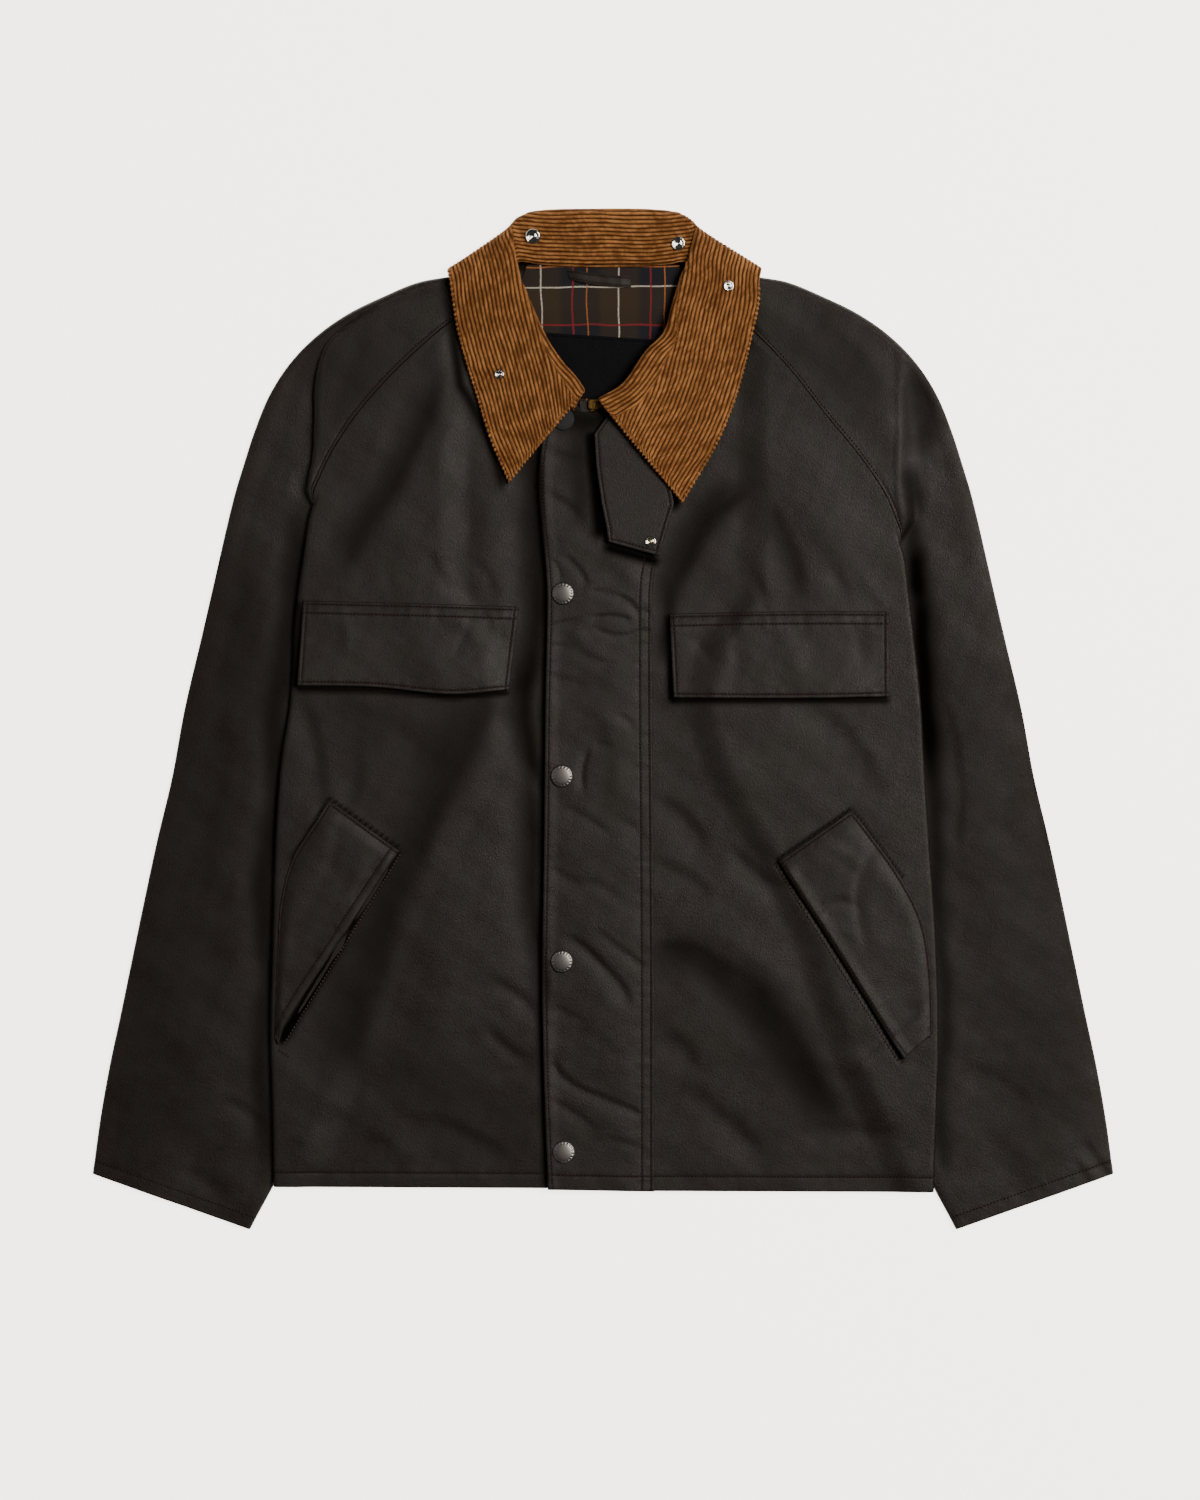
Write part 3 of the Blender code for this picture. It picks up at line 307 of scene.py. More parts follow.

# Press fasteners: place, radius, height and how much darker they are drawn; on the first snap,
# half under the collar's leaf, and on the third collar stud this is painted shadow.
Fastener = namedtuple("Fastener", "node x y radius height dark", defaults=(0.0,))
PLACKET_SNAPS = table(Fastener,
    ("placket_snap_1", -30, 224.6, 8.6, 2.6, 0.8), ("placket_snap_2", -30, 94.1, 8.6, 3.2),
    ("placket_snap_3", -30.8, -42.4, 8.6, 3.2), ("placket_snap_4", -30.8, -181.1, 8.6, 3.2),
    ("placket_snap_5", -29.3, -323.6, 8.6, 3.2))
COLLAR_STUDS = table(Fastener,
    ("collar_stud_1", -77.3, 257.6, 3.8, 1.6, 0.55), ("collar_stud_2", -52.5, 361.1, 5.9, 1.8),
    ("collar_stud_3", 56.3, 355.9, 5.4, 1.8, 0.3), ("collar_stud_4", 93.8, 323.6, 4.1, 1.6))
TAB_STUD = Fastener("tab_stud", 35.6, 132.8, 4.3, 1.8)

# Studio, in metres: floor, lamps (name, size and place), and camera, whose sensor is
# in millimetres.
FLOOR_REACH = 4.0
FLOOR_Z = -0.0004
LAMPS = (("key", 2.0, (2.05, 0.80, 3.30)), ("side", 1.0, (-1.4, 0.3, 1.6)))
SENSOR = 36.0
FRAME_MIDDLE = (-0.00225, -0.0229)

# Rows of stitches along a piece's sides: distance from the side, what is left free
# at the beginning and the end, how far the edge is raised, and the row's depth.
SewRow = namedtuple("SewRow", "side at begin end lift groove", defaults=(0.35, 0.22))
BACK_ROWS = table(SewRow, ("low", 11.0, 2.0, 2.0))
FRONT_ROWS = table(SewRow, ("low", 11.0, 30.0, 14.0))
SEAM_ROW = 2.4
CUFF_ROWS = table(SewRow, ("high", 10.0, 6.0, 6.0, 0.3))
PLACKET_ROWS = table(SewRow,
    ("left", 3.2, 4.0, 12.0, 0.3), ("right", 9.4, 2.0, 4.0, 0.0, 0.2),
    ("right", 2.6, 2.0, 4.0, 0.0, 0.2), ("low", 11.0, 4.0, 12.0, 0.25))
FLAP_ROWS = table(SewRow,
    ("left", 2.6, 3.0, 3.0, 0.2), ("left", 9.4, 3.0, 3.0, 0.0), ("right", 3.0, 3.0, 3.0, 0.3),
    ("low", 3.0, 3.0, 3.0, 0.3), ("high", 3.0, 3.0, 3.0, 0.3))
POCKET_ROWS = {
    name: table(SewRow, ("right", free, 2.0, 14.0, 0.12), ("low", 2.4, 2.0, 2.0, 0.12),
                ("left", 2.4, 2.0, 4.0, 0.12))
    for name, free in (("right", 7.0), ("left", 2.6))}
TAB_ROWS = table(SewRow,
    ("left", 3.0, 6.0, 3.0, 0.3), ("high", 3.0, 3.0, 3.0, 0.3), ("right", 3.0, 30.0, 3.0, 0.3))
LABEL_ROWS = table(SewRow, ("low", 2.0, 2.0, 2.0, 0.1, 0.15))
LOOP_ROWS = table(SewRow, ("left", 1.4, 0.0, 0.0, 0.1, 0.15), ("right", 1.4, 0.0, 0.0, 0.1, 0.15))

STUD_SUNK = 0.15
TAB_STUD_SUNK = 0.1
# A ring of dimples: number, share of the radius, their own radius and their depth.
SNAP_DOTS = (17, 0.78, 0.60, 0.30)

# How far the free edges of what is sewn on stand off, and over what distance.
FLY_REACH = 15.0
FLY_LIFT = 1.1
FLY_LIFT_RUN = 12.0
POCKET_LIFT_RUN = 20.0
FLAP_LIFT = 2.3
FLAP_LIFT_FROM = 18.0
FLAP_LIFT_RUN = 46.0
LABEL_LIFT = 0.25
LOOP_LIFT = 0.1
LOOP_RISE = 1.6
LOOP_RISE_RUN = 8.0
CHECK_SHIFT = 60.0

# Creases: from where to where, width, height, how far they take to die away, sideways
# bend, and how much steeper one side is (-1 to 1).
Crease = namedtuple("Crease", "x y to_x to_y width height ends bend lean", defaults=(0.0, 0.0))
LARGE_FOLDS = table(Crease,
    (-130, 247, -200, 110, 28, 1, 20), (-95, -10, -190, -250, 36, 1.4, 20),
    (95, 175, 68, 120, 26, 1, 20), (70, -185, 165, -290, 32, 1.3, 20),
    (-70, 190, -66, 135, 20, 0.7, 20))
BODY_CREASES = table(Crease,
    # Wearer's right front.
    (-130, 250, -204, 116, 11, -1.2, 26, 8, -0.4), (-100, 285, -118, 206, 10, 0.4, 20, 4, 0.3),
    (-84, 170, -92, 108, 12, 0.6, 22, 4, 0.3), (-55, 206, -58, 30, 10, -1.9, 24, 3, -0.5),
    (-59, 40, -55, -44, 9, -2, 16, -3, -0.5), (-62, -54, -51, -216, 9, -1.5, 22, 3, -0.5),
    (-84, 22, -152, -105, 20, -1.9, 30, -6, -0.5),
    (-152, -105, -198, -262, 22, -2.1, 34, -8, -0.5),
    (-108, -110, -146, -300, 28, 1.5, 40, 10, 0.3), (-164, 112, -158, 92, 5, -0.3, 9, 1, 0.2),
    (-136, 122, -120, 94, 5.5, -0.45, 12, 2, -0.3), (-98, 118, -84, 92, 5, -0.4, 10, 2, -0.2),
    (-104, 100, -72, 104, 4, 0.25, 9, -2), (-84, -198, -52, -222, 4.5, -0.7, 9, 2, -0.3),
    (-86, -236, -54, -256, 5, -0.7, 9, -2, -0.3), (-76, -268, -50, -262, 4.5, -0.5, 8, 2, -0.3),
    (-140, -302, -76, -330, 9, -0.8, 16, 4, -0.4), (-210, -280, -150, -326, 10, 0.5, 20, 5, 0.3),
    (-180, 8, -140, -24, 10, -0.4, 18, 4, -0.4), (-224, 10, -214, -60, 8, -0.8, 16, 2, -0.4),
    (-188, -20, -196, -66, 9, -0.6, 16, 2, -0.4),
    # Wearer's left front.
    (102, 172, 46, 98, 11, -2.1, 22, -7, -0.4), (44, 100, 42, 46, 7, -1.3, 14, 1, -0.2),
    (122, 160, 144, 92, 10, -1, 18, 3, -0.4), (96, 220, 190, 120, 24, 0.8, 34, 12, 0.3),
    (166, 116, 178, 88, 6, -0.5, 11, 2, -0.3), (112, 108, 118, 84, 5, -0.35, 10, 1, -0.2),
    (190, 108, 206, 90, 4.5, 0.25, 9, 1), (39, -176, 92, -194, 12, -1.3, 16, 5, -0.5),
    (92, -196, 168, -298, 15, -1.9, 28, 8, -0.5), (64, -150, 140, -206, 16, 0.8, 24, 8, 0.4),
    (100, -104, 146, -126, 8, -0.9, 12, -5, -0.5), (40, -108, 78, -134, 7, -0.7, 11, 3, -0.4),
    (38, -62, 74, -94, 8, -0.7, 12, 3, -0.4), (44, -60, 120, -30, 16, 0.5, 24, -6),
    (158, 8, 198, -44, 10, -0.7, 16, 4, -0.4), (120, -250, 210, -262, 10, 0.5, 18, 5, 0.2),
    (190, -250, 236, -214, 7, -0.8, 12, -3, 0.4), (150, -306, 226, -318, 9, -0.6, 18, 3, -0.3),
    (56, -276, 112, -326, 10, -0.8, 18, 4, -0.4), (44, -236, 70, -262, 7, -0.7, 12, 2, -0.4))
PLACKET_CREASES = table(Crease,
    (-36, 200, -4, 184, 6, -0.8, 9, 3, -0.3), (-38, 168, -14, 150, 5, -0.8, 8, 2, -0.3),
    (-34, 136, -8, 128, 8, 0.5, 12, 2), (-30, 124, -15, 104, 3, -0.8, 5, 2, -0.4),
    (-40, 120, -33, 108, 2.6, -0.6, 4, 1, -0.3), (2, 124, 26, 100, 8, 0.5, 12, 3, 0.2),
    (-12, 97, 12, 91, 2.8, -0.5, 5, 1.5, -0.3), (10, 93, 24, 79, 2.8, -0.8, 4, 1.5, -0.4),
    (-9, 77, 17, 76, 2.3, -0.9, 3.5, 2, -0.4), (-6, 68, 24, 66, 2.6, -0.7, 4.5, -2, -0.4),
    (-40, 71, -20, 76, 2.5, -0.7, 4.5, 1, -0.3), (-24, 66, -12, 60, 4, 0.5, 6, 1),
    (-40, 55, -24, 55, 2.8, -0.6, 5, 1, -0.3), (-22, 56, 8, 44, 4, -0.5, 8, -3, -0.3),
    (26, 82, 36, 78, 2.4, -0.5, 3.5, 0.5, -0.3), (24, 68, 36, 66, 2.4, -0.4, 3.5, 0.5, -0.3),
    (-40, 32, -10, 26, 4, -0.4, 7, 1, -0.2), (14, 4, 24, -6, 3, -0.5, 5, 1, -0.3),
    (-13, -22, -17, -52, 3.2, -0.9, 6, -2, -0.4), (-8, -20, 4, -18, 2.6, -0.5, 4, 1, -0.3),
    (2, 12, 8, -60, 8, 0.4, 14, 3, 0.2), (-30, -66, 6, -84, 4, -0.5, 8, 2, -0.3),
    (14, -74, 30, -92, 4, -0.4, 7, 1, -0.3), (-38, -110, -16, -122, 4, -0.5, 7, 1, -0.3),
    (-14, -120, 16, -134, 5, -0.4, 9, 2, -0.3), (-23, -163, 18, -212, 4.5, -1.2, 9, 4, -0.5),
    (-4, -158, 26, -186, 4, -0.7, 8, 2, -0.4), (-10, -224, 20, -246, 10, 0.7, 14, 2, 0.3),
    (-38, -214, -16, -224, 3.6, -0.5, 7, 1, -0.3), (-36, -254, -10, -278, 3.6, -0.9, 7, -3, -0.4),
    (-10, -278, 28, -298, 4, -1, 9, 3, -0.4), (-36, -286, -6, -304, 4, -0.6, 8, 2, -0.3),
    (4, -312, 30, -326, 4, -0.5, 8, 1, -0.3))
FLAP_CREASES = table(Crease,
    (-196, 80, -190, 52, 4, 0.35, 8, 1), (-150, 76, -118, 30, 9, 0.6, 12, 3),
    (-100, 80, -108, 46, 4, -0.5, 8, 1, 0.2), (-88, 78, -82, 60, 3.2, 0.4, 6, 1),
    (62, 60, 82, 44, 5, -0.5, 8, 2, 0.2), (92, 72, 104, 34, 6, -0.6, 10, 2, 0.2),
    (128, 76, 150, 24, 9, 0.6, 12, 3), (186, 74, 196, 40, 5, -0.5, 8, 1, 0.2))
POCKET_CREASES = table(Crease,
    (-176, -92, -214, -180, 9, 0.8, 18, 6, 0.2), (-196, -86, -226, -150, 7, -0.7, 14, 4, 0.2),
    (158, -142, 190, -138, 3.6, -0.7, 9, 4, 0.3), (206, -92, 194, -166, 5, -0.8, 12, -8, 0.3),
    (178, -156, 206, -168, 4.6, 0.3, 8, 2), (166, -92, 196, -112, 5, 0.5, 9, 2))
# Pocket mouths: the gap between the pocket's free edge and the front, and the depth at which the
# painted shade in the gap is full.
MOUTH_SHADE_DEPTH = 1.1
POCKET_MOUTHS = table(Crease,
    (-153, -98.5, -195.5, -166.5, 1.5, -1.3, 3), (-194.5, -165, -241, -240.5, 3.2, -2.4, 6),
    (130, -106, 223.5, -255.5, 1.5, -1.6, 4, 2))
# Rows of stitches on the fronts: ends, side and whether the thread is light.
FrontSewing = namedtuple("FrontSewing", "x y to_x to_y side light")
FRONT_SEWING = table(FrontSewing,
    (-150.8, -99.4, -239.2, -243.8, "right", True), (128, -107.5, 221, -257, "left", False),
    (226.5, -248.5, 247, -236, "left", False), (-242.5, -247.5, -233.5, -253.5, "right", False))
SLEEVE_CREASES = table(Crease,
    # Wearer's right sleeve.
    (-250, 160, -268, -90, 14, 0.8, 40, 4), (-228, 150, -244, 10, 9, -1, 24, 0, -0.2),
    (-245, 10, -256, -170, 9, -1.1, 24, 0, -0.2), (-256, -170, -258, -330, 8, -1, 24, 0, -0.2),
    (-276, 150, -302, -120, 14, -0.8, 40, 0, -0.3), (-284, -290, -256, -306, 6, -0.8, 9, 2, -0.3),
    (-318, -340, -286, -356, 7, -0.8, 10, 3, -0.3), (-330, -180, -344, -262, 14, 0.5, 24, 3),
    (-286, -130, -306, -230, 14, -0.6, 24, 4, -0.3),
    (-180, 300, -205, 236, 10, -0.5, 16, 4, -0.3),
    # Wearer's left sleeve.
    (221, 268, 223, 160, 4, 0.9, 16, 0, 0.2), (231, 256, 238, 200, 11, -1.9, 14, 3, -0.2),
    (230, 184, 234, 154, 7, -1.5, 9, 0, -0.2), (232, 124, 235, 94, 7, -1.3, 9, 0, -0.2),
    (234, 92, 244, -36, 12, -2.2, 24, 2, 0.2), (256, 6, 264, -98, 7, -0.7, 18, 3, -0.4),
    (268, 200, 288, -60, 18, 0.7, 40, 5), (284, 20, 302, -220, 18, 0.5, 40, -4),
    (308, 60, 334, -150, 14, -0.9, 34, 2, 0.3), (360, -318, 376, -344, 4.5, -0.8, 7, 1, -0.3),
    (350, -330, 364, -352, 4, -0.6, 6, 1, -0.3), (276, -262, 318, -288, 9, -0.6, 16, 4, -0.3),
    (150, 306, 196, 262, 10, -0.5, 16, 4, -0.3))
# Painted shade: where the cloth is drawn darker, along the deep folds and under what lies on top.
# The lines are creases whose height is the darkness.
PAINTED_FOLD_SHADE = table(Crease,
    (-130, 250, -204, 116, 13, 0.5, 26, 8), (-55, 206, -58, 30, 11, 0.65, 24, 3),
    (-59, 40, -55, -44, 10, 0.65, 16, -3), (-62, -54, -51, -216, 9, 0.5, 22, 3),
    (-84, 22, -152, -105, 20, 0.45, 30, -6), (-152, -105, -198, -262, 24, 0.5, 34, -8),
    (102, 172, 46, 98, 13, 0.65, 22, -7), (44, 100, 42, 46, 8, 0.45, 14, 1),
    (122, 160, 144, 92, 10, 0.35, 18, 3), (39, -176, 92, -194, 14, 0.6, 16, 5),
    (92, -196, 168, -298, 20, 0.75, 28, 8), (-40, 230, 4, 224, 11, 0.95, 10),
    (-18, 216, -12, 150, 10, 0.55, 14), (130, 300, 215, 240, 36, 0.32, 40),
    (-150, 290, -215, 240, 30, 0.22, 40), (-200, 10, -120, -20, 30, 0.2, 30),
    (-140, -250, -60, -330, 34, 0.25, 30))
# Painted shade on the sleeves: broad bands over their outer parts, and dark bands beside the
# body's edges.
SLEEVE_PAINTED_SHADE = table(Crease,
    (-290, 120, -340, -320, 50, 0.3, 40), (300, 60, 345, -320, 50, 0.28, 50),
    (-228, 150, -244, 10, 11, 0.7, 24), (-245, 10, -256, -170, 10, 0.7, 24),
    (-256, -170, -258, -330, 8, 0.55, 24), (231, 256, 238, 200, 11, 0.5, 14, 3),
    (230, 184, 234, 154, 7, 0.7, 9), (232, 124, 235, 94, 7, 0.6, 9),
    (234, 92, 244, -36, 12, 0.6, 24, 2), (231, 150, 242, 30, 8, 0.75, 10),
    (242, 30, 252.5, -148, 8, 0.75, 10), (252.5, -148, 256, -250, 7, 0.65, 10),
    (256, -250, 253, -340, 7, 0.55, 10))
# Painted shadows: dark lines under the free edges of what is sewn on.
PAINTED_EDGE_SHADOWS = table(Crease,
    (-10, 216, -2, 136, 6, 1, 5), (1, 129, 42, 117.5, 4, 1, 5), (5, 226, 56, 158, 5, 0.9, 4),
    (-118, 333, -107, 250, 4, 0.8, 6), (-107, 250, -75, 174, 4, 0.8, 6, 4),
    (-226.3, 88, -230.3, 24, 2.8, 0.8, 3), (-229.5, 22.6, -171, 21.8, 2.8, 0.9, 3),
    (-171, 21.8, -112, 16.4, 2.8, 0.9, 3), (-112, 16.4, -70, 20, 2.8, 0.9, 3),
    (47.9, 79, 50.9, 14, 2.8, 0.9, 3), (51, 13.9, 214, 14.6, 2.8, 0.9, 3),
    (-205.6, -58.6, -151.8, -97.2, 1.3, 0.9, 3), (-205.6, -60, -233.4, -104, 1.2, 0.8, 3),
    (129.6, -105.4, 186, -66.6, 1.3, 0.9, 3), (187, -68, 225, -119, 1.2, 0.7, 3),
    (-47.5, 205, -43.8, 92, 3, 0.7, 4), (-43.8, 92, -46.2, -75, 3, 0.7, 4),
    (-46.2, -75, -47.5, -210, 3, 0.7, 4), (-47.5, -210, -43.2, -350, 3, 0.7, 4))
# Gentle unevenness of laid cloth: wavelength, heading in degrees, start and height.
Swell = namedtuple("Swell", "length heading start height")
SWELLS = table(Swell,
    (61, 14, 0.4, 0.16), (47, 71, 2.1, 0.13), (34, 128, 4.4, 0.1), (27, 40, 1.2, 0.07),
    (21, 98, 3.3, 0.05), (16, 160, 5.5, 0.035), (12.5, 57, 0.9, 0.025), (9.5, 113, 2.6, 0.018))


def smooth(value):
    """Rise from 0 to 1 with level ends."""
    value = np.clip(value, 0.0, 1.0)
    return value * value * (3.0 - 2.0 * value)


def spaced(rows, at, path):
    """A table as numbers, how far its rows are along the path, and so for shares of it."""
    values = np.array([tuple(row) for row in rows], dtype=float)
    step = np.diff(values[:, list(path)], axis=0)
    length = np.concatenate([[0.0], np.cumsum(np.hypot(step[:, 0], step[:, 1]))])
    return values, length, np.atleast_1d(at) * length[-1]


def cubic(start, end, leave, arrive, t):
    """Cubic from a start to an end with a slope at each, t running from 0 to 1."""
    first = start * (1 + 2 * t) + leave * t
    last = end * (3 - 2 * t) - arrive * (1 - t)
    return first * (1 - t) ** 2 + last * t**2


def trace(rows, at, path=(0, 1)):
    """Cubics through a table's rows, read at shares of the path of two columns."""
    values, length, along = spaced(rows, at, path)
    tangent = np.gradient(values, length, axis=0)
    i = np.clip(np.searchsorted(length, along, side="right") - 1, 0, len(rows) - 2)
    span = (length[i + 1] - length[i])[:, None]
    t = (along - length[i])[:, None] / span
    return cubic(values[i], values[i + 1], tangent[i] * span, tangent[i + 1] * span, t)


def straight(rows, at, path=(0, 1)):
    """Straight lines through a table's rows, read like a trace."""
    values, length, along = spaced(rows, at, path)
    return np.stack([np.interp(along, length, column) for column in values.T], -1)


def records(rows, at, path=(0, 1)):
    """A trace, as rows of the table's own kind."""
    return [type(rows[0])(*row) for row in trace(rows, at, path)]


def unit(vectors):
    """Vectors brought to a length of 1."""
    return vectors / np.linalg.norm(vectors, axis=-1, keepdims=True)


def lengths(line):
    """How far the points of a line are along it."""
    return np.concatenate([[0.0], np.cumsum(np.linalg.norm(np.diff(line, axis=0), axis=1))])


def read_line(at, length, values):
    """A line's values at distances along it."""
    return np.stack([np.interp(at, length, values[:, k]) for k in range(3)], -1)


def turns(count):
    """Angles of a full turn in equal parts."""
    return np.arange(count) * 2 * math.pi / count


def triangles(quads):
    """Two triangles for each face of four corners."""
    return np.concatenate([quads[:, [0, 1, 2]], quads[:, [0, 2, 3]]])


def repeated(faces, count, stride):
    """The faces of a shape for each of many like ones, a stride of corners apart."""
    shift = (np.arange(count) * stride)[:, None, None]
    return (faces[None] + shift).reshape(-1, faces.shape[1])


def tube(rings, steps, turned=False):
    """A tube's corners, each one's neighbour on its ring, and its faces of four corners."""
    corner = np.arange(rings * steps).reshape(rings, steps)
    after = np.roll(corner, -1, axis=1)
    faces = [corner[:-1], after[:-1], after[1:], corner[1:]]
    if turned:
        faces = faces[:1] + faces[:0:-1]
    return corner, after, np.stack(faces, -1).reshape(-1, 4)


def closed_tube(rings, steps, turned=False):
    """A tube's triangles, with a fan to a point at each end; the points come last."""
    corner, after, quads = tube(rings, steps, turned)
    fans = []
    for pole, (one, other) in enumerate(((after[0], corner[0]), (corner[-1], after[-1]))):
        pair = (other, one) if turned else (one, other)
        fans.append(np.stack([*pair, np.full(steps, rings * steps + pole)], -1))
    return np.concatenate([triangles(quads), *fans])


def rim_steps(count, length, rim=0.9, ends=(True, True), near=(), far=()):
    """Even shares of a length, with close ones at the rims and beside rows of stitches.

    "near" and "far" are the distances of such rows from the start and from the end.
    """
    close = np.array(RIM_CLOSE) * rim / length
    first = close if ends[0] else np.array([0.0])
    last = 1.0 - close[::-1] if ends[1] else np.array([1.0])
    inner = np.linspace(first[-1], last[0], count)[1:-1]
    beside = np.array(BESIDE_ROW)
    rows = [(at + beside) / length for at in near] + [1.0 - (at + beside) / length for at in far]
    for row in rows:
        row = row[(row > first[-1]) & (row < last[0])]
        away = np.abs(inner[:, None] - row[None]).min(axis=1)
        inner = np.sort(np.concatenate([inner[away > 0.5 / length], row]))
    return np.concatenate([first, inner, last])


def inner_fold(y):
    """Where the sleeve's inner fold lies under the body, by height on the jacket."""
    return np.interp(y, INNER_FOLD_Y, INNER_FOLD_OUT)


def over_sleeve(x, y):
    """Rise from 0 to 1 where the body climbs onto the sleeve."""
    return smooth((np.abs(x) - inner_fold(y) + CLIMB_START) / CLIMB)


def neck_ground(x, y):
    """How far the collar's fall raises what lies on it."""
    across = smooth((FALL_OUT - np.abs(x)) / FALL_OUT_RUN)
    return COLLAR_LIFT * smooth((y - FALL_Y) / FALL_RUN) * across


def back_z(x, y):
    """Middle of the back panel: on the floor, and on the sleeves at the sides."""
    climb = over_sleeve(x, y) * smooth((CLIMB_END_Y - y) / CLIMB_END)
    return FLOOR_LAYER + neck_ground(x, y) + SLEEVE_LIFT * climb


def crease_field(table, x, y):
    """Sum of bell-shaped ridges and troughs along bent lines that die away.

    Each is height * exp(-(across / width)**2), with across measured from a
    parabola between its ends and the width larger on one side by its lean.
    """
    rise = np.zeros(np.broadcast(x, y).shape)
    for crease in table:
        run = np.array([crease.to_x - crease.x, crease.to_y - crease.y])
        length = np.hypot(*run)
        run = run / length
        along = (x - crease.x) * run[0] + (y - crease.y) * run[1]
        across = (y - crease.y) * run[0] - (x - crease.x) * run[1]
        share = np.clip(along / length, -0.3, 1.3)
        across = across - crease.bend * 4.0 * share * (1.0 - share)
        width = crease.width * (1.0 + crease.lean * np.tanh(across / crease.width))
        begun = smooth((along + crease.ends) / (2 * crease.ends))
        ends = begun * smooth((length + crease.ends - along) / (2 * crease.ends))
        rise = rise + crease.height * ends * np.exp(-(across / width) ** 2)
    return rise


def wander(x, y):
    """Shift a place a little by slow waves, so that no crease runs true."""
    dx = 2.2 * np.sin(y / 23.0 + 0.7) + 1.1 * np.sin(x / 15.0 + y / 19.0) + 0.5 * np.sin(y / 7.3)
    dy = 2.0 * np.sin(x / 27.0 + 1.9) + 1.0 * np.sin(y / 17.0 - x / 13.0) + 0.5 * np.sin(x / 6.1)
    return x + dx, y + dy


def swell(x, y, depth):
    """Slow unevenness of laid cloth: a sum of sine waves in several directions."""
    rise = np.zeros(np.broadcast(x, y).shape)
    for wave in SWELLS:
        turn = math.radians(wave.heading)
        along = x * math.cos(turn) + y * math.sin(turn)
        bent = 0.9 * np.sin(y / wave.length + x / (2.7 * wave.length))
        rise = rise + wave.height * np.sin(2 * math.pi * along / wave.length + wave.start + bent)
    return rise * depth


def body_top(x, y, depth=1.0):
    """Middle of a front panel: its lay, its large folds and its creases."""
    middle = FLOOR_LAYER + neck_ground(x, y) + CLOTH + AIR_MIDDLE
    share = over_sleeve(x, y)
    folds = crease_field(LARGE_FOLDS, x, y)
    fine = BODY_DEPTH * crease_field(BODY_CREASES, *wander(x, y)) + swell(x, y, 1.0)
    mouth = crease_field(POCKET_MOUTHS, x, y)
    return middle + (SIDE_LEVEL - middle) * share + folds * (1.0 - share) + fine * depth + mouth


def laid_line(x, y, to_x, to_y, depth):
    """A straight line on a front's outer face, with its normals from the slopes there."""
    share = np.linspace(0.0, 1.0, LINE_POINTS)
    x, y = x + (to_x - x) * share, y + (to_y - y) * share
    slope_x = body_top(x + 0.5, y, depth) - body_top(x - 0.5, y, depth)
    slope_y = body_top(x, y + 0.5, depth) - body_top(x, y - 0.5, depth)
    facing = unit(np.stack([-slope_x, -slope_y, np.ones_like(x)], -1))
    return np.stack([x, y, body_top(x, y, depth) + CLOTH / 2], -1), facing


def normals(points):
    """Unit normals of a grid, from the cross product of its two directions."""
    across = np.gradient(points, axis=1)
    along = np.gradient(points, axis=0)
    normal = np.cross(across, along)
    return normal / np.maximum(np.linalg.norm(normal, axis=-1, keepdims=True), 1e-12)


def borders(points):
    """Distances over the surface from the first and last column and row."""
    across = np.linalg.norm(np.diff(points, axis=1), axis=-1)
    left = np.concatenate([np.zeros((len(points), 1)), np.cumsum(across, axis=1)], axis=1)
    along = np.linalg.norm(np.diff(points, axis=0), axis=-1)
    low = np.concatenate([np.zeros((1, points.shape[1])), np.cumsum(along, axis=0)], axis=0)
    return left, left[:, -1:] - left, low, low[-1:] - low


def rounded(distance, radius):
    """Quarter circle from 0 at an edge to 1 at a distance of the radius."""
    return np.sqrt(np.clip(1.0 - (1.0 - np.clip(distance / radius, 0.0, 1.0)) ** 2, 0.0, 1.0))


